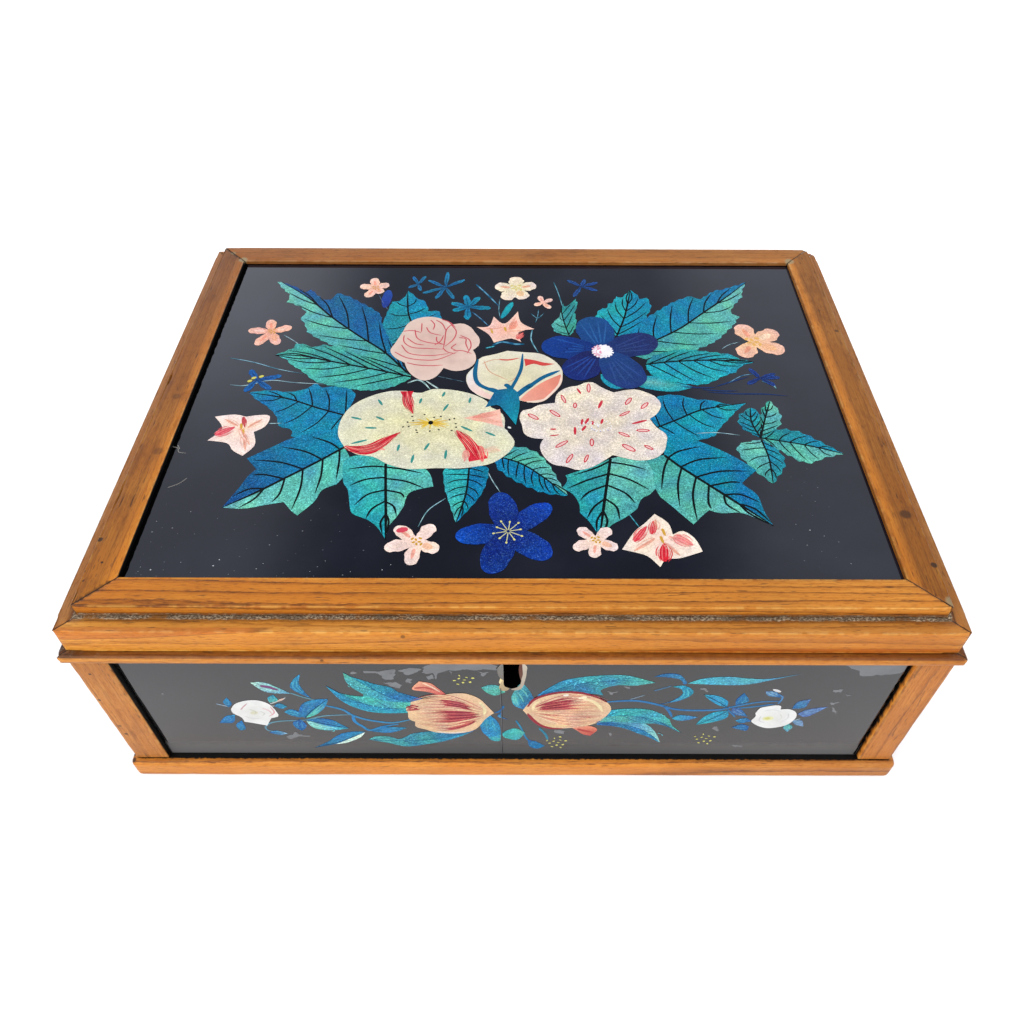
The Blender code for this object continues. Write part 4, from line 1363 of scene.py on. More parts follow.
# Stems and thin leaves, one thin stroke each.
stem_color, stem_pale = (70, 132, 152), (150, 178, 184)
for line, width, color in (
    ([(-123, 23.5), (-112, 20.5), (-101, 16), (-90, 13)], 1.0, (96, 140, 160)),
    ([(-119, 5.5), (-112, 5), (-103, 8.5), (-92, 7), (-77, 6)], 0.9, stem_pale),
    ([(-103, 40), (-98, 36), (-94, 32)], 0.7, stem_pale), ([(-98, -18.5), (-93, -18.3)], 0.9, stem_pale),
    ([(-64.5, 72), (-62, 66), (-58, 58)], 0.4, (60, 80, 110)), ([(-30, 66), (-26, 64)], 0.6, stem_color),
    ([(-20, 58), (-16, 53), (-12, 47)], 1.2, (28, 88, 136)),
    ([(-19, 80.5), (-14, 73), (-8, 63)], 1.6, (34, 108, 152)),
    ([(-7.5, 68), (-7.8, 60), (-7, 53)], 0.7, stem_color),
    ([(7.5, 44.5), (7, 37), (10, 28)], 1.1, (96, 158, 178)),
    ([(-10, 33), (-6, 35.5), (0, 34), (4, 34)], 2.4, (12, 96, 140)), ([(-13, 31), (-9, 32.5)], 1.6, cyan),
    ([(10.5, 60), (10, 55), (9, 50)], 0.8, (44, 104, 128)),
    ([(7, 57), (10, 53.5), (13, 57.5)], 0.9, (44, 104, 128)),
    ([(18, 82.5), (20, 73), (22, 60)], 0.9, (60, 130, 150)),
    ([(-36, 7), (-32, 3.5), (-38.5, 9.5)], 1.2, (190, 206, 196)),
    ([(-34, 12), (-28, 10), (-20, 7.5)], 0.6, (40, 64, 84)),
    ([(90.5, 31), (94, 34), (99, 36)], 0.6, stem_pale),
    ([(90, 8), (96, 12.5), (101, 13.5)], 0.9, (60, 110, 150)),
    ([(104, 9), (108, 6.5), (109, 4)], 1.2, (96, 150, 160)),
    ([(72, -23.5), (80, -23), (89, -24.5)], 0.8, stem_pale),
    ([(-10, -45), (-8, -50), (-5, -56)], 0.7, stem_pale),
    ([(-25, -59), (-31, -65), (-34, -73)], 0.7, (140, 186, 190)),
    ([(41.5, -66), (43, -69), (45, -73)], 0.8, cyan),
    ([(-45, 7), (-41, 9), (-38, 7), (-35, 2.5)], 1.4, (176, 204, 194)),
):
    stroke(lid, line, width * 0.60, blend_color(color, (20, 60, 76), 0.35), 4.5, 0.15, (0.5, 0.3))
    points = even_points(soft_curve(line), 9)
    light = blend_color(color, (190, 220, 224), 0.4)
    for step in (1, 3, 6):
        stroke(lid, points[step:step + 3], width * 0.35, light, 5, 0.3, (0.2, 0.1))
for line in (
    [(80, 1.8), (92, 0.8), (104, 0.6), (113, -0.6)], [(78, 3.4), (86, 2.6), (93, 2.6)],
    [(84, 5.4), (92, 9), (99, 12)], [(70, 5.2), (78, 4.6), (84, 4.8)],
):
    stroke(lid, line, 0.8, (22, 48, 96), 4, 0.2, (0.2, 0.1))
spot(lid, (-4, -22), (3.4, 1.3), (230, 232, 228), 13, -35)
spot(lid, (-2, -20.5), (1.6, 1), (230, 232, 228), 13, -35)

# Dust on the lid's pane: bright specks near its front edge and three curled fibres.
for index in range(120):
    across, along = (index * 0.7548) % 1, (index * 0.5698) % 1
    place = (98 + 33 * across, -95 + 60 * along)
    if index % 4:
        place = (-128 + 96 * across * across, -96 + 44 * along * along)
    size = 0.22 + 0.36 * ((index * 0.309) % 1) ** 3
    color = ((84, 86, 94), (124, 126, 132), (186, 188, 192))[index % 7 // 3]
    spot(lid, place, (size * 1.2, size), color, 2, segments=5)
for line in (
    [(-133, -32), (-130.5, -32.8), (-129.5, -35), (-126.5, -35.6)],
    [(-128.5, -54), (-125, -52), (-122.6, -49)], [(-131, -31), (-129.5, -33.4)],
):
    stroke(lid, line, 0.26, (150, 146, 138), 2.5, ends=(0.5, 0.4))


def make_tinsel():
    """Translucent oil colour over crumpled foil under glass. Paint without foil is smooth and opaque. The
    foil's glints and the light and shade of its crinkles are painted into the colour.
    """
    material, tree, shader = new_material("tinsel_paint")
    paint = attribute(tree, "paint", "Color")
    foil = attribute(tree, "foil")
    place = object_place(tree)
    facets = add_node(tree, "ShaderNodeTexVoronoi", place, Scale=1250.0, Randomness=1.0)
    shine = Channel(tree, facets.outputs["Distance"]) * 0.40 + place.noise(1900, 4.0, 0.75) * 0.80
    # Painted light and shade of the foil's crinkles.
    foil_light_and_shade = (shine.remap(0.36, 0.84, 0.62, 1.50) - 1.0) * foil + 1.0
    strength = foil_light_and_shade * (place.noise(260, 3.0) * 0.24 + 0.88)
    scaled = add_node(tree, "ShaderNodeVectorMath", paint, operation="SCALE", Scale=strength)
    dull = Channel(tree, scaled.outputs[0])
    # Painted glints: small bright flecks where the foil catches the light.
    painted_glint = place.stretched(1.0, 1.6, 1.3).noise(2500, 2.0, 0.7).remap(0.59, 0.65) * foil * 0.95
    bright = dull.tinted((2.2, 2.2, 2.2)).tinted((0.06, 0.13, 0.13), "ADD")
    set_shader(shader, Base_Color=painted_glint.blend(dull, bright), Metallic=foil * 0.15,
               Roughness=0.60 - foil * 0.20, Specular_IOR_Level=0.05, Coat_Weight=0.10,
               Coat_Roughness=glass_roughness, Coat_IOR=glass_index,
               Normal=bumped(shine * foil, 0.6, 0.00015))
    return material


tinsel = make_tinsel()


def finish_painting(name, shape, origin, across, up, finish=tinsel):
    """Lay a painting on its pane: origin is its middle, and across and up are its directions there."""
    out = Vector(across).cross(Vector(up))
    shape.normal_update()
    bmesh.ops.reverse_faces(shape, faces=[face for face in shape.faces if face.normal.z < 0])
    place = Matrix((Vector(across) * 0.001, Vector(up) * 0.001, out * paint_step)).transposed().to_4x4()
    shape.transform(Matrix.Translation(origin) @ place)
    piece = new_piece(name, shape, finish)
    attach(piece, "root")


pane_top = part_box("top_glass")[1].z
finish_painting("lid_painting", lid, Vector((0, 0, pane_top + paint_lift)), (1, 0, 0), (0, 1, 0))


def make_black_paint_and_shade():
    """Dull, dusty and uneven black for the edges of the panes: black paint brushed over them by hand, and
    painted shade where rails and posts shade the panes.
    """
    material, tree, shader = new_material("black_paint_and_shade")
    dusty = object_place(tree).noise(900, 4.0, 0.7).remap(0.66, 0.76, 0.0, 0.8)
    color = dusty.blend((0.0012, 0.0011, 0.0010), (0.050, 0.044, 0.036))
    set_shader(shader, Base_Color=color, Roughness=0.9, Specular_IOR_Level=0.0)
    return material


def black_band(shape, outer, inner, steps, ragged):
    """A band of black, paint and painted shade, between a straight outer line and an inner line that wavers
    as a hand does.
    """
    outer, inner = [Vector(point) for point in outer], [Vector(point) for point in inner]
    edge = []
    for step in range(steps + 1):
        place = inner[0].lerp(inner[1], step / steps)
        out = (inner[0] - outer[0]).normalized()
        waver = noise.noise(place.to_3d() * 0.35) + 0.7 * noise.noise(place.to_3d() * 1.7)
        edge.append(place + out * ragged * waver)
    fill(shape, outer, edge, (line_black, line_black), 0.0, 0.0, 2)


black_paint_and_shade = make_black_paint_and_shade()
# Black bands on the lid's pane along its left and back rails: painted shade, and on the left the painted dark
# reflection of the rail's shaded inner face.
lid_edge = start_painting()
black_band(lid_edge, [(-132.6, -97), (-132.6, 97)], [(-131.3, -97), (-130.8, 97)], 160, 0.30)
black_band(lid_edge, [(-132.5, 97.3), (132.5, 97.3)], [(-132.5, 96.6), (132.5, 96.7)], 160, 0.25)
edge_middle = Vector((0, 0, pane_top + edge_lift))
finish_painting("lid_painted_shade_edge", lid_edge, edge_middle, (1, 0, 0), (0, 1, 0), black_paint_and_shade)

# Front painting: two striped tulips under the keyhole, long blue and green leaves beside them, and
# a white rose near each end. Measures are millimetres from the middle of the pane and from the floor.
mist_blue, sky_blue, sea_cyan, sea_green = (16, 92, 146), (26, 126, 168), (34, 152, 166), (74, 162, 152)
foam, dusk = (150, 206, 194), (70, 96, 150)
front = start_painting()

# Stems and small leaves, left of the tulips and then right of them.
for line, width, color in (
    ([(-95.5, 32.5), (-93, 35.5), (-89, 37), (-84, 37.5), (-79, 38), (-72, 41), (-64, 42), (-61, 42)], 1.0,
     (92, 136, 150)),
    ([(-95.5, 33), (-95.3, 30), (-92, 28.5), (-88, 27)], 0.9, (92, 136, 150)),
    ([(-81, 58), (-77, 55), (-73, 53)], 0.8, (92, 140, 156)),
    ([(-70, 49), (-64, 46), (-61, 42), (-57, 39), (-52, 37), (-46, 36), (-39, 38.5)], 1.4, (50, 128, 172)),
    ([(-60.5, 42), (-60.5, 37), (-58, 33), (-55.5, 30), (-50, 33), (-44, 35)], 1.5, (40, 122, 174)),
    ([(-90, 50), (-86, 52.5), (-83.5, 54.5)], 0.7, (190, 196, 196)),
    ([(-90, 48.5), (-87, 48.5)], 0.6, (190, 196, 196)), ([(-110, 50), (-106, 48)], 0.8, (140, 160, 176)),
    ([(34, 52), (45, 53), (54, 50), (60, 47), (67, 46), (77, 46.5), (80, 48), (90, 52), (98, 53)], 1.4,
     (46, 112, 164)),
    ([(56, 49.5), (58.5, 45), (60, 41)], 1.3, (46, 112, 164)), ([(43, 54), (48, 57)], 0.6, (120, 140, 156)),
    ([(51, 60), (57, 63.5)], 0.8, (70, 110, 140)), ([(82, 47.5), (90, 49), (97, 51)], 1.0, (46, 112, 164)),
    ([(98, 51), (98.5, 56), (94.5, 59)], 0.9, (72, 120, 164)),
    ([(1, 38), (3, 32), (5, 24), (8, 19)], 0.9, (36, 120, 160)),
    ([(10, 32), (12.5, 27), (13.5, 22.5)], 1.2, (46, 124, 150)),
    ([(-3.5, 49), (-5, 45), (-7, 44)], 1.1, (36, 104, 160)), ([(61, 66), (62, 65)], 1.6, (36, 104, 160)),
    ([(80, 47), (84, 41)], 0.9, (46, 112, 164)), ([(91, 38), (85, 38.5)], 0.7, (80, 120, 160)),
    ([(106, 38), (109, 40)], 0.7, (150, 170, 180)),
):
    stroke(front, line, width * 0.85, color, 3, 0.3, (0.6, 0.4))
for start, upper, lower, colors in (
    ((-112.5, 35.5), [(-109, 40.5), (-105, 42)], [(-107, 36), (-105, 42)], (mist_blue, sky_blue)),
    ((-106, 29.5), [(-106.5, 34), (-103.5, 37.5)], [(-103.5, 31), (-103.5, 37.5)], (mist_blue, sky_blue)),
    ((-106, 47.5), [(-107.2, 51), (-105, 54.5)], [(-104.2, 50), (-105, 54.5)], (mist_blue, sky_blue)),
    ((-90, 51), [(-90, 54.5), (-87.5, 56.5)], [(-86.5, 52.5), (-87.5, 56.5)], (sea_green, sea_cyan)),
    ((-89, 48.5), [(-86.5, 50.5), (-84, 48)], [(-86.5, 46.5), (-84, 48)], (mist_blue, sky_blue)),
    ((-94, 65), [(-88.5, 65), (-81, 57.5)], [(-89.5, 58.5), (-81, 57.5)], ((150, 186, 180), (90, 160, 180))),
    ((-75, 70.8), [(-78, 67.5), (-80.3, 62), (-78, 58), (-74, 54)],
     [(-76.6, 65), (-76, 60), (-75.2, 57), (-74, 54)], (sky_blue, mist_blue)),
    ((-79, 39.5), [(-80.5, 43), (-79.3, 48), (-76.5, 51.5), (-72, 53.5), (-68, 53.7)],
     [(-76, 43.5), (-72.5, 49), (-68, 53.7)], (mist_blue, sky_blue)),
    ((-79, 39.5), [(-76, 43.5), (-72.5, 49), (-68, 53.7)],
     [(-74.5, 42), (-70.5, 47), (-68.8, 51), (-68, 53.7)], (sea_green, sky_blue)),
    ((-86, 44), [(-83.5, 46), (-80.5, 44.5), (-79, 40.5)], [(-84, 41.5), (-81, 40), (-79, 40.5)],
     (sky_blue, mist_blue)),
    ((-81, 38.5), [(-84.3, 36), (-84, 32), (-82, 29.5)], [(-79.6, 35), (-80, 32), (-82, 29.5)],
     (mist_blue, mist_blue)),
    ((-79, 38), [(-74, 39.3), (-69, 38), (-66, 34.5), (-63.5, 31.5)], [(-75, 35.5), (-70, 33), (-63.5, 31.5)],
     (mist_blue, sky_blue)),
    ((-79, 38), [(-75, 35.5), (-70, 33), (-63.5, 31.5)],
     [(-77.5, 32.5), (-73, 30), (-68, 30.3), (-63.5, 31.5)], (foam, sea_cyan)),
    ((-79.5, 15.5), [(-73, 21), (-68, 26.5), (-63, 28.8), (-57.5, 28.8)],
     [(-70, 19), (-64, 23.5), (-57.5, 28.8)], (mist_blue, sky_blue)),
    ((-71, 18.6), [(-65, 22.6), (-60, 26.8), (-57.5, 28.8)], [(-66, 19.8), (-60, 24.4), (-57.5, 28.8)],
     ((200, 226, 214), (206, 228, 220))),
    ((-55, 29), [(-50, 32.5), (-45, 32.6), (-41, 32)], [(-50, 28), (-46, 28.8), (-41, 32)],
     (mist_blue, sky_blue)),
    ((-95, 28), [(-92, 29.6), (-88, 27.5)], [(-91, 26), (-88, 27.5)], (mist_blue, (120, 150, 166))),
    ((-9, 42.5), [(-6, 37), (-4.9, 30), (-5, 24)], [(-12.5, 36), (-12.2, 29.5), (-10, 25)],
     (sky_blue, sky_blue)),
    ((-10, 25), [(-7.5, 26.5), (-4.9, 26)], [(-8.5, 22), (-5.5, 21.6), (-4.9, 26)], (sea_cyan, sea_green)),
    ((-4.3, 28), [(-2, 30.5), (1, 31.8), (4.5, 28.5)], [(-3.5, 24.5), (1.5, 22.5), (4.5, 28.5)],
     (sea_cyan, sea_green)),
    ((5.5, 22.5), [(9, 21), (12.5, 17.5)], [(6.5, 17), (9.5, 15.2), (12.5, 17.5)], (mist_blue, sky_blue)),
    ((-4.5, 44.5), [(-4.4, 41), (-2, 38.8)], [(-6, 41), (-2, 38.8)], (mist_blue, mist_blue)),
    ((-11.5, 62), [(-8, 64), (-4, 62.5), (-2.8, 59)], [(-9.5, 58.5), (-6.5, 56.5), (-2.8, 59)],
     (sea_green, sea_green)),
    ((0.6, 60), [(3, 65), (5.8, 60.5), (8, 53)], [(1.6, 54), (3, 48), (5, 46)], (sea_green, mist_blue)),
    ((0.6, 60), [(1.6, 54), (3, 48), (5, 46)], [(-0.6, 55), (0.6, 49), (5, 46)], (sea_green, sky_blue)),
    ((57.3, 63), [(61.5, 63.8), (65.2, 60.5), (65, 57), (61, 53), (55, 51)],
     [(60.5, 61.6), (61.7, 58.5), (60.5, 55.5), (57.5, 52.2), (52, 49)], (sea_cyan, mist_blue)),
    ((50, 69.8), [(54, 71.8), (59, 71), (62.3, 65.8)], [(55, 69.3), (59, 68.2), (61, 65.3)],
     (mist_blue, (40, 104, 150))),
    ((62.5, 65.3), [(68, 68.8), (76, 69.8), (84, 68.8), (91, 68.5), (102, 72)],
     [(70, 64.6), (79, 64.2), (86, 65.2), (92, 67.8), (102, 72)], ((60, 160, 180), (78, 140, 168))),
    ((60, 40), [(62.5, 42.4), (66, 42), (70, 41)], [(63, 38.2), (67, 39), (70, 41)],
     (sky_blue, (60, 130, 164))),
    ((79.5, 48.5), [(76, 50), (72, 54), (69.5, 57.5)], [(79, 53), (74.5, 56.8), (69.5, 57.5)],
     (sky_blue, sea_cyan)),
    ((80.5, 46), [(75, 44.5), (71.5, 40), (70, 35)], [(81, 41), (77, 37.5), (70, 35)], (sky_blue, sea_cyan)),
    ((82.5, 50), [(82, 54), (84, 58.8)], [(86.8, 53), (84, 58.8)], (mist_blue, mist_blue)),
    ((81.5, 48), [(85, 47), (88.5, 41.5)], [(82.5, 43.5), (88.5, 41.5)], (dusk, mist_blue)),
    ((104, 47.5), [(105, 52.5), (109.3, 54.5)], [(108.5, 48.5), (109.3, 54.5)], (mist_blue, dusk)),
    ((107, 43.5), [(110, 47), (117, 49)], [(111, 41.5), (117, 49)], (dusk, (84, 116, 172))),
    ((106, 38.5), [(108, 35.5), (111.5, 34)], [(109.8, 38.5), (111.5, 34)],
     ((96, 130, 160), (120, 150, 170))),
    ((105, 36), [(104, 33), (106.2, 29.5)], [(107.5, 33.5), (106.2, 29.5)], (sea_green, (80, 130, 160))),
    ((90.5, 38), [(87, 36.4), (84.5, 38.5)], [(88, 40.4), (84.5, 38.5)], (mist_blue, sky_blue)),
    ((90.5, 34), [(87.5, 35.5), (84, 33)], [(90, 30.5), (84, 33)], (mist_blue, mist_blue)),
    ((91.5, 60), [(95.5, 59.5), (98, 55.5)], [(93, 57), (98, 55.5)], ((110, 140, 170), mist_blue)),
):
    first, second = [start, *upper], [start, *lower]
    blade(front, first, second, colors, 4, 1.0)
    for share in (0.3, 0.68):
        light = blend_color(colors[0], (150, 208, 206), 0.32)
        stroke(front, line_between(first, second, share)[1:4], 0.5, light, 5, 0.5, (0.3, 0.1))
for line in (
    [(-79, 39.5), (-75.5, 45), (-68, 53.7)], [(-79.5, 38), (-71, 34.5), (-63.5, 31.5)],
    [(-79.5, 15.5), (-68, 21), (-57.5, 28.8)], [(80, 48), (75, 53), (69.5, 57.5)],
    [(80.5, 46), (76, 40.5), (70, 35)],
):
    stroke(front, line, 0.35, (16, 52, 84), 6, ends=(0.8, 0.4))
stroke(front, [(-91, 62.8), (-88, 62), (-85, 59.8)], 1.6, (120, 74, 118), 6, ends=(0.3, 0.3))
spot(front, (-85.5, 53), (3.6, 1.2), (206, 178, 164), 6, 35)
spot(front, (95.5, 60.5), (4.0, 1.5), (214, 214, 214), 6, -30)

# The long leaves that fold round the tulips, painted over foil.
front_ink = (22, 84, 124)
for rib, first_half, second_half, level, side_veins in (
    ([(-33, 52), (-42, 53), (-50, 60), (-59.7, 72)],
     ([[(-33, 54), (-37, 56), (-42, 59)], [(-44, 62), (-49, 64), (-53, 66.5), (-57, 69), (-59.7, 72)]],
      mist_blue, sea_cyan),
     ([[(-33, 51), (-46, 49), (-55, 55.5)], [(-54.5, 57), (-57.5, 61), (-59.6, 66), (-59.7, 72)]], sky_blue,
      sea_green),
     5, 3),
    ([(-34, 47.5), (-46, 47), (-57, 51.5), (-67.3, 63)],
     ([[(-34, 51), (-45, 52), (-53, 55.3)], [(-58, 56), (-63, 58), (-67.3, 63)]], sea_green, sea_cyan),
     ([[(-34, 44.5), (-45, 43.3), (-53, 44.2), (-59, 47.6), (-63.5, 53), (-67.3, 63)]], sea_cyan, sky_blue),
     6, 3),
    ([(-57, 22.4), (-47, 21.4), (-38, 21.6), (-26, 24.5), (-15, 30)],
     ([[(-57, 22.4), (-54, 25), (-49, 25), (-45.5, 22.8)],
       [(-42.5, 24.5), (-39, 27.5), (-30, 29.5), (-15, 30)]],
      sea_green, mist_blue),
     ([[(-57, 22.4), (-50, 19.8), (-43, 16.8), (-36, 18.2), (-28, 21), (-21, 25), (-15, 30)]], sea_green,
      sky_blue),
     5, 3),
    ([(9, 56), (18, 62), (28, 66), (40, 67), (51, 65.8)],
     ([[(9, 57), (13, 62), (18, 67), (24, 69.2), (32, 70.6), (40, 70.6), (46, 68.2), (51, 65.8)]], sky_blue,
      sea_green),
     ([[(9, 56), (18, 58.5), (28, 58), (33, 57)], [(31.5, 60), (34, 62.5), (38, 64), (44, 63.8), (51, 65.8)]],
      mist_blue, sea_green),
     5, 4),
    ([(33, 41), (42, 42), (51, 40), (58, 35.5), (65.5, 28.3)],
     ([[(34, 45.5), (42, 47.2), (50, 46.8), (55.5, 43.5), (59.5, 39)], [(61, 34.5), (65.5, 28.3)]], sea_cyan,
      sea_green),
     ([[(33, 37), (42, 37), (50, 36), (54, 36)], [(58.5, 34), (65.5, 28.3)]], sea_green, mist_blue), 6, 4),
    ([(32, 36.5), (41, 35.5), (49, 31.5), (54, 26.5), (58, 20.5)],
     ([[(32, 38), (42, 38.5), (50, 36.5)], [(53, 33), (56, 27), (58, 20.5)]], mist_blue, foam),
     ([[(32, 34.8), (39, 33.6), (44, 31.4), (48, 28.4), (53, 25), (58, 20.5)]], mist_blue, sky_blue), 5, 3),
):
    leaf(front, rib, [first_half, second_half], level, side_veins, 0.28, ink=front_ink)
# Short pale cyan dashes on the foil leaves: painted glints.
for place, turn in (
    ((-49, 49), 20), ((-56, 63), 60), ((22, 66), 40), ((33, 66), 50), ((54, 42), -20), ((55, 27), -60),
    ((-50, 58), 40), ((-70, 31), 10), ((41, 45), 0),
):
    for index in range(5):
        away = Vector((3.0 * math.cos(index * 2.4), 1.6 * math.sin(index * 2.4)))
        spot(front, Vector(place) + away, (1.3, 0.35), (96, 206, 214), 8.6, turn + 14 * index, 1.0, 6)

# The two tulips: peach petals over foil, streaked with crimson from the foot of the flower.
peach, straw, salmon_red, tulip_red = (206, 156, 126), (220, 186, 148), (192, 92, 86), (158, 48, 64)


def streak_tulip(shape, foot, reach, rise, patches):
    """Fine streaks that run round a tulip from its foot and meet again at its tip. patches are (lowest,
    highest, start, end) of crimson: across the flower from -1 to 1, and along it from 0 to 1."""
    def place_on(lift, along):
        return (foot[0] + reach * along, foot[1] + rise * lift * math.sin(math.pi * (0.02 + 0.80 * along)))

    peaches = (straw, (206, 136, 114), (228, 204, 166), (188, 104, 94))
    reds = (tulip_red, salmon_red, (136, 34, 54))
    streaks = []
    for index in range(48):
        start, end = 0.05 + 0.35 * ((index * 0.618) % 1), 0.70 + 0.26 * ((index * 0.382) % 1)
        streaks.append((-0.95 + 1.9 * index / 47, start, end, peaches[index % 4], 0.5))
    for low, high, first, last in patches:
        for index in range(10):
            start, end = first + 0.12 * ((index * 0.618) % 1), last - 0.14 * ((index * 0.382) % 1)
            streaks.append((low + (high - low) * index / 9, start, end, reds[index % 3], 0.95))
    for lift, start, end, color, width in streaks:
        line = [place_on(lift, start + (end - start) * step / 4) for step in range(5)]
        stroke(shape, line, width, color, 12, 0.45, (0.2, 0.08))


area(front, (-24, 43), [
    [(-39.5, 44), (-40, 47), (-37.5, 49)],
    [(-38, 51.5), (-34, 53.5), (-29, 55), (-26, 56.5), (-22, 58), (-17, 57.8), (-12.5, 54.4), (-9.6, 49),
     (-7.2, 43.8)],
    [(-10.6, 39.2), (-14, 32), (-18, 28.8), (-24, 27.8), (-30, 28.6), (-34, 31)], [(-37.5, 33), (-37.4, 37)],
    [(-39.6, 39), (-39.5, 44)],
], 1.6, (peach, straw), 10, 0.3, 6)
blade(front, [(-27.5, 57), (-31, 59), (-36.3, 60.5), (-35.5, 63.5)],
      [(-24.5, 57.5), (-27, 61.5), (-29.5, 65), (-33.5, 66.3)], (salmon_red, (232, 168, 134)), 9, 0.3)
streak_tulip(front, (-9.2, 43.5), -30.5, 14.4,
             ((0.36, 0.68, 0.20, 0.64), (-0.45, 0.10, 0.10, 0.72), (-0.92, -0.66, 0.15, 0.62),
              (0.25, 0.60, 0.84, 1.02)))
for line, width, color in (
    ([(-35.6, 61.6), (-31.5, 62), (-28, 60)], 1.0, (176, 80, 76)),
    ([(-32.4, 65.4), (-29.4, 62.6), (-26.4, 59)], 0.8, (232, 196, 168)),
    ([(-30, 29.2), (-24, 28.2), (-18, 29.4)], 1.0, (226, 214, 192)),
    ([(-12.4, 52), (-10.6, 47), (-11, 42)], 1.2, (226, 212, 164)),
):
    stroke(front, line, width, color, 13, 0.25, (0.35, 0.25))
area(front, (20, 45), [
    [(3.6, 46), (6, 51.4), (10, 56), (15.5, 58.6), (22, 59.2), (28, 57.2), (33, 54), (36, 49.6), (36.6, 46)],
    [(35, 41.5), (31.5, 36.5), (28, 34), (23, 32.6), (18, 32), (13, 32.4), (9, 36), (6, 41), (3.6, 46)],
], 1.6, (peach, straw), 10, 0.3, 6)
blade(front, [(21, 34), (24.5, 30.5), (27, 27.4), (30, 26.2)],
      [(27.6, 34.4), (31, 33.2), (32.4, 30.6), (30, 26.2)], ((224, 150, 120), (190, 80, 72)), 9, 0.3)
streak_tulip(front, (5.2, 45.6), 31.5, 13.2,
             ((0.12, 0.60, 0.12, 0.64), (0.72, 0.80, 0.1, 0.6), (-0.42, -0.34, 0.2, 0.8)))
for line, width, color in (
    ([(5.4, 48.6), (7.6, 53.6), (12, 57), (17.6, 59), (24, 58.8), (30, 56), (34.6, 52)], 1.3, (140, 40, 54)),
    ([(5.4, 43.6), (7.4, 39), (10.4, 34.6), (14.4, 32.2), (19, 32)], 1.4, (150, 44, 58)),
    ([(24.6, 31.6), (28, 30), (31, 29)], 1.2, (172, 66, 66)),
    ([(24.6, 55), (29, 53), (32, 49), (33.4, 45)], 1.5, (228, 210, 166)),
    ([(18.4, 56.8), (20.4, 57.2)], 1.3, (240, 236, 216)), ([(24, 54.6), (27, 56)], 1.5, (236, 222, 186)),
    ([(7.4, 46), (7.8, 50), (10, 53)], 1.1, (230, 210, 162)),
    ([(12, 35), (17, 34), (22, 34.6)], 0.9, (222, 194, 142)),
):
    stroke(front, line, width, color, 13, 0.25, (0.4, 0.3))

# The white roses, drawn with thin pink and grey lines, and the dots of yellow blossom.
rose_white, rose_rim = (220, 220, 214), (228, 229, 226)
area(front, (-97, 44), [
    [(-105.5, 46), (-103, 50), (-98.5, 52.4), (-94, 52.6), (-90.6, 50.2), (-89.2, 46.4)],
    [(-88.6, 42.6), (-89, 40.6), (-91.8, 39.4)], [(-93, 37), (-94.6, 33.6)], [(-99, 35.4), (-102.6, 36.6)],
    [(-103, 40), (-105.4, 43), (-105.5, 46)],
], 1.4, (rose_white, rose_rim), 7, 0.05, 5)
area(front, (98, 41), [
    [(91, 44), (92, 48), (94.6, 49.2)], [(97, 50), (99.4, 49.6), (99.8, 47)],
    [(103, 47.2), (106, 45), (107, 41), (106, 37)], [(103.6, 34.2), (98, 32.6), (93.6, 34.6)],
    [(90.6, 38), (91.6, 41.6), (91, 44)],
], 1.4, (rose_white, rose_rim), 7, 0.05, 5)
for line, color in (
    ([(-90.4, 48), (-89.8, 43.6), (-92.6, 40.6)], (214, 150, 156)),
    ([(-93.6, 47), (-91.4, 45), (-91, 42.4)], (220, 170, 172)),
    ([(-102, 45.6), (-100, 48.4), (-98.4, 50.4)], (196, 150, 156)),
    ([(-98.6, 46), (-96.6, 44.4), (-97.6, 42)], (196, 196, 176)),
    ([(-95, 44.6), (-93.6, 43), (-95, 41)], (200, 200, 190)),
    ([(-101.6, 41), (-99, 39), (-95.6, 39.4)], (204, 204, 200)),
    ([(94, 45.6), (97, 46.8), (100.4, 45.4)], (206, 208, 208)),
    ([(103.4, 44), (104, 40.6), (102, 37.6)], (206, 208, 208)),
    ([(93.6, 42), (93.6, 38.6), (96.6, 36.4)], (206, 208, 208)),
    ([(100.4, 43.6), (101.6, 40.6), (99.6, 38)], (214, 214, 206)),
):
    stroke(front, line, 0.45, color, 9)
spot(front, (-97.4, 43.4), (3.4, 2.4), (214, 210, 184), 8, 30)
spot(front, (96.6, 40.2), (4.4, 3.4), (222, 222, 172), 8)
spot(front, (96.4, 40.2), (2.2, 1.8), (206, 204, 128), 9)
for center, count, spread in (
    ((-18, 67.3), 9, (4.2, 3.6)), ((17, 20.4), 12, (4.6, 5.0)), ((75, 24), 11, (4.6, 4.8)),
):
    for index in range(count):
        reach = math.sqrt((index + 0.3) / count)
        away = (spread[0] * reach * math.cos(index * 2.4), spread[1] * reach * math.sin(index * 2.4))
        place = (center[0] + away[0], center[1] + away[1])
        spot(front, place, (1.25, 0.55 + 0.25 * (index % 3)), (204, 200, 112), 5, 47 * index, 0.2, 6)
blade(front, [(-5, 66), (-4.4, 68.5), (-3.6, 70)], [(-5, 66), (-4, 62.5), (-3.5, 63)],
      ((238, 222, 178), (230, 206, 150)), 8, 0.2)

# Age: places where the black has flaked off and left a grey ground, a hairline crack below the
# keyhole, and the bare ragged rim of the notch.
flake_grey = (124, 126, 128)


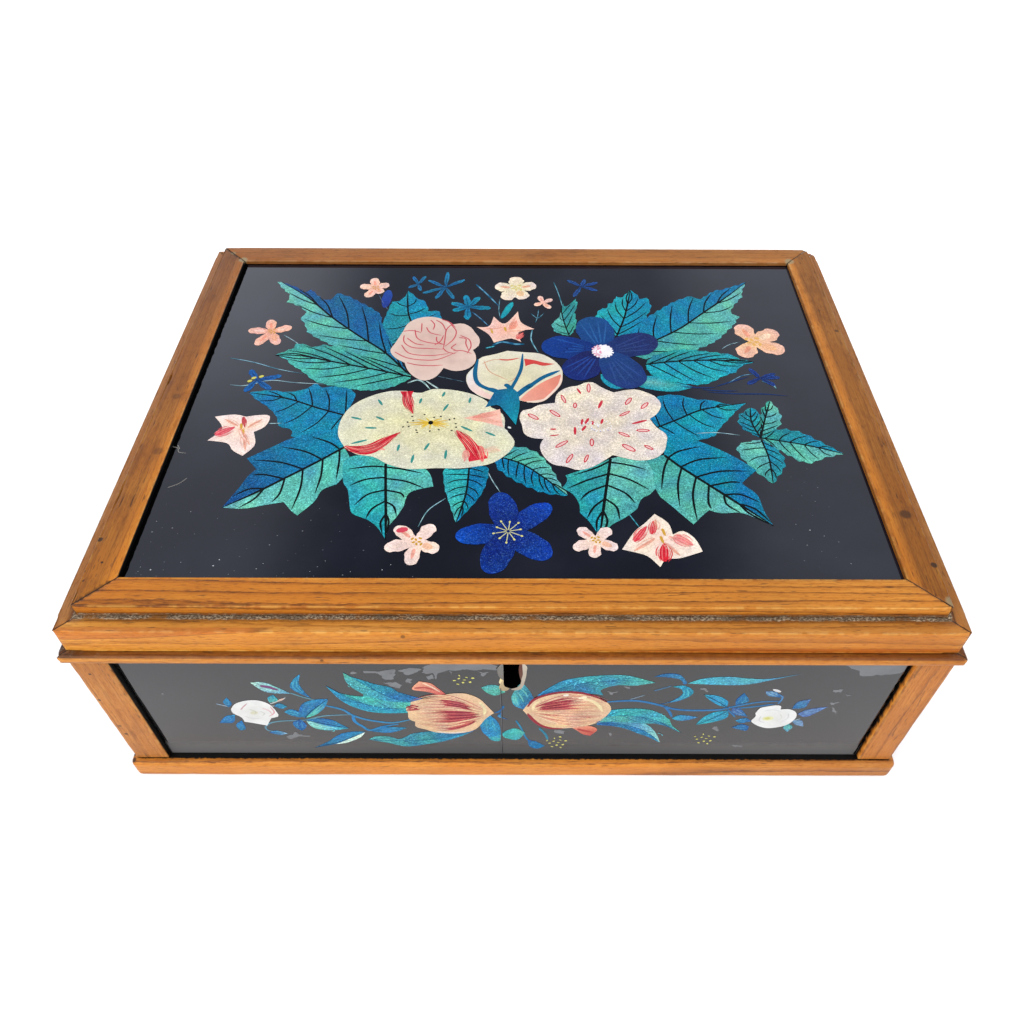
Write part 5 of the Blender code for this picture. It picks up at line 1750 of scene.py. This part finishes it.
def flake(shape, points):
    """A patch with a ragged outline where the ground shows."""
    rim = even_points([Vector(point) for point in points + [points[0]]], len(points) * 5)
    middle = sum(rim[:-1], Vector((0, 0))) / (len(rim) - 1)
    for index, place in enumerate(rim[:-1]):
        ragged = noise.noise(Vector((place.x, place.y, 3.0)) * 0.9)
        rim[index] = place + (place - middle).normalized() * 1.1 * ragged
    rim[-1] = rim[0]
    fill(shape, [middle], rim, (flake_grey, flake_grey), 1.5, 0.0, 3)


for points in (
    [(-32, 72), (-31, 76), (-27, 78.5), (-18, 79.5), (-10, 78.5), (-5.6, 77), (-6, 73.6), (-9, 75),
     (-13, 73.4), (-16, 74.2), (-21, 73.6), (-24, 74), (-26, 71.5), (-28, 72.6), (-30, 71)],
    [(-53, 73.2), (-47, 72.8), (-41.5, 74.4), (-41, 71.6), (-47, 71.6), (-52.6, 71.6)],
    [(-47.6, 71.8), (-46.4, 68.4), (-43.4, 66.8), (-41.4, 69.6), (-41, 72)],
    [(-40, 73.6), (-36, 75.4), (-32, 74.6), (-33.6, 72.4), (-36.6, 70.6), (-38.6, 71.6)],
    [(-46, 65), (-42, 65.4), (-39.6, 63.6), (-41.4, 61.4), (-44, 62.8)],
    [(-37.8, 67.6), (-36, 67.8), (-36.6, 64.4), (-38.2, 65.2)],
    [(-31, 69), (-28.4, 71), (-28, 67.4), (-30.6, 67.6)],
    [(-57, 72.3), (-55, 72.5), (-55.4, 71.4), (-56.8, 71.3)], [(-22.6, 73.4), (-21, 72.6), (-21.6, 70.4)],
    [(-28, 72), (-26.6, 71.4), (-27.4, 67)], [(-12, 73), (-8.6, 72.4), (-10.6, 69.4)],
    [(114.5, 78), (121, 74), (123, 70.4), (128, 71), (133, 71.6), (136.6, 73), (137.4, 79)],
    [(67, 62), (69, 62.4), (71.4, 59), (69.6, 60)], [(115.6, 61.4), (119, 61.6), (119.4, 59.4), (116.6, 59)],
    [(121, 58), (123, 57.4), (122.4, 56.4)], [(116.6, 52), (120, 52.4), (119, 50.2)],
    [(118.6, 49), (121, 46.4), (121.6, 43.6), (119.6, 46)],
    [(87.4, 18.4), (91.4, 18.4), (91, 16.8), (87.6, 16.8)], [(16, 30.6), (20, 30), (19.6, 27.6), (16.6, 28)],
    [(76.6, 33), (78.4, 34), (79.2, 30.4), (77.6, 31)], [(37, 28.6), (38.4, 27.4), (38.2, 25.4)],
    [(-87, 26), (-84.6, 28.2), (-83, 26), (-79.4, 25.6), (-80, 24.4), (-84, 25), (-87.4, 22.6), (-90, 24.4)],
    [(-127.4, 57.8), (-126.6, 57.6), (-128, 56.6)], [(34, 60), (36, 58.4), (38, 59.6), (36, 57.6)],
    [(40, 63), (42.6, 63.2), (42, 61.6)], [(-101.4, 31), (-99.6, 30.2), (-99.4, 28.8)],
):
    flake(front, points)
stroke(front, [(-4.6, 62), (-4.4, 42), (-4.8, 25), (-4.7, 11)], 0.20, (104, 106, 110), 20, ends=(1.0, 1.0))
stroke(front, [(-4.35, 62), (-4.15, 42), (-4.55, 25), (-4.45, 11)], 0.16, (10, 10, 12), 20, ends=(1.0, 1.0))
for outer, inner, color in (
    ([(-3.4, 79), (-4.6, 77), (-5.4, 75), (-5.2, 71), (-4.4, 68.6), (-3.5, 67.4)],
     [(-3.3, 79), (-3.3, 74), (-3.3, 70), (-3.3, 67.4)], (132, 132, 128)),
    ([(-3.4, 67.6), (-4.6, 64.6), (-5.0, 61.6), (-3.6, 60.0), (-2.0, 60.4), (-1.4, 61.6)],
     [(-3.3, 67.6), (-3.3, 64.6), (-2.8, 63.0), (-1.2, 61.8)], (206, 182, 140)),
    ([(3.5, 79), (5.0, 76.4), (4.9, 73.6), (4.7, 70), (4.2, 66.6), (3.9, 64.2), (3.0, 61.6), (1.4, 60.4),
      (-0.6, 60.8)],
     [(3.2, 79), (3.2, 74), (3.1, 70), (2.9, 66), (2.4, 63.8), (1.2, 62.3), (-0.6, 61.5)], (206, 194, 176)),
    ([(3.3, 78.6), (3.4, 75), (3.5, 71), (2.9, 67.6)], [(2.5, 78.6), (2.1, 75), (2.3, 71), (2.8, 67.6)],
     (104, 62, 52)),
):
    blade(front, outer, inner, (color, blend_color(color, (110, 92, 76), 0.4)), 18, 0.0)
pane_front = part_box("front_glass")[0].y
finish_painting("front_painting", front, Vector((0, pane_front - paint_lift, 0)), (1, 0, 0), (0, 0, 1))
# Ragged black bands on the front pane beside the posts: black paint together with painted shade.
front_edge = start_painting()
black_band(front_edge, [(138.0, 10.9), (138.0, 83.0)], [(137.3, 10.9), (137.3, 83.0)], 70, 0.45)
black_band(front_edge, [(-138.0, 10.9), (-138.0, 83.0)], [(-137.7, 10.9), (-137.6, 83.0)], 70, 0.15)
edge_middle = Vector((0, pane_front - edge_lift, 0))
finish_painting("front_black_and_shade_edge", front_edge, edge_middle, (1, 0, 0), (0, 0, 1), black_paint_and_shade)

# Keyhole lining: the rounded cut through the front pane and the wall behind it, black with old paint
# and dirt and with painted shade in the deep notch. It is a thin curved sheet, open at the top, that
# lies just inside the notch.
notch_middle, notch_top, notch_radius, notch_depth = 0.0647, 0.0830, 0.00315, 0.0100
lining = bmesh.new()
grid = bmesh.ops.create_grid(lining, x_segments=24, y_segments=8, size=0.5)["verts"]
for vert in grid:
    turn, deep = (vert.co.x + 0.5) * 2 - 1, vert.co.y + 0.5
    rough_edge = 0.00008 * noise.noise(Vector((turn * 9, deep * 7, 0)))
    bend = math.pi * 0.5 * max(-1.0, min(1.0, turn * 2))
    radius = notch_radius + rough_edge
    rise = notch_middle + max(0.0, abs(turn) - 0.5) * 2 * (notch_top - notch_middle) - math.cos(bend) * radius
    vert.co = (math.sin(bend) * radius, pane_front + 0.0001 + deep * notch_depth, rise)
lining.normal_update()
middle_face = min(lining.faces, key=lambda face: face.calc_center_median().z)
if middle_face.normal.z < 0:
    bmesh.ops.reverse_faces(lining, faces=lining.faces)
piece = new_piece("keyhole_lining", lining, black_paint_and_shade)
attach(piece, "root")

# Side and back paintings: simpler sprays in keeping with the front, a white rose between long leaves,
# painted in the same way behind the panes that the photograph doesn't show.
def simple_spray(shape, reach):
    """A white rose in the middle, with a stem, leaves and small blossoms on each hand."""
    for hand in (-1, 1):
        stem = [(hand * 6, 44), (hand * reach * 0.45, 40), (hand * reach * 0.95, 52)]
        stroke(shape, stem, 1.4, (50, 128, 172), 3, 0.3, (0.6, 0.4))
        for share, lift, length, colors in (
            (0.30, 13, 26, (mist_blue, sea_green)), (0.34, -14, 24, (sea_green, sky_blue)),
            (0.62, 12, 18, (sky_blue, sea_cyan)), (0.70, -11, 16, (mist_blue, sky_blue)),
            (0.92, 7, 9, (sea_cyan, sea_green)),
        ):
            root = Vector((hand * reach * share, 41 + 10 * share * share))
            tip = root + Vector((hand * length * 0.8, lift))
            side = Vector((-(tip - root).y, (tip - root).x)).normalized() * length * 0.2
            middle = (root + tip) / 2
            upper, lower = [[root, middle + side, tip]], [[root, middle - side, tip]]
            leaf(shape, [root, middle, tip], [(upper, *colors), (lower, *colors[::-1])], 5, 3, 0.4)
        for turn in range(6):
            place = (hand * (reach * 0.55 + 3.4 * math.cos(turn * 2.4)), 63 + 3 * math.sin(turn * 2.4))
            spot(shape, place, (1.5, 1.0), (214, 208, 104), 5, 40 * turn, 0.2, 6)
    for index in range(5):
        turn = math.tau * index / 5 + 0.3
        tip = (10 * math.cos(turn), 44 + 9.4 * math.sin(turn))
        petal(shape, (0, 44), tip, 10.5, (rose_white, rose_rim), 8 + 0.4 * (index % 2), 0.05)
    spot(shape, (0, 44), (4.6, 3.6), (222, 222, 172), 10)


for node_name, axis, sign in (("right_glass", 0, 1), ("back_glass", 1, 1), ("left_glass", 0, -1)):
    pane = start_painting()
    simple_spray(pane, 98 if axis == 1 else 76)
    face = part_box(node_name)[1 if sign > 0 else 0][axis] + sign * paint_lift
    origin = Vector((face, 0, 0)) if axis == 0 else Vector((0, face, 0))
    across = (0, sign, 0) if axis == 0 else (-sign, 0, 0)
    finish_painting(node_name.replace("glass", "painting"), pane, origin, across, (0, 0, 1))

# Inner walls and the lid's backing: thin boards of unfinished pine, four behind the side panes and
# one below the lid's pane. They are seen only when the lid is off.
def make_raw_pine():
    """Unfinished pine, pale and dry, with soft rings along the board."""
    material, tree, shader = new_material("raw_pine")
    streaks = object_place(tree).stretched(0.06, 0.06).noise(700, 4.0)
    wood = streaks.blend((0.46, 0.29, 0.14), (0.28, 0.16, 0.075))
    set_shader(shader, Base_Color=wood, Roughness=0.8, Normal=bumped(streaks, 0.4, 0.0002))
    return material


raw_pine = make_raw_pine()
for node_name in ("front_wall", "right_wall", "back_wall", "left_wall", "lid_backing"):
    nodes_of_box[node_name].material_slots[0].material = raw_pine
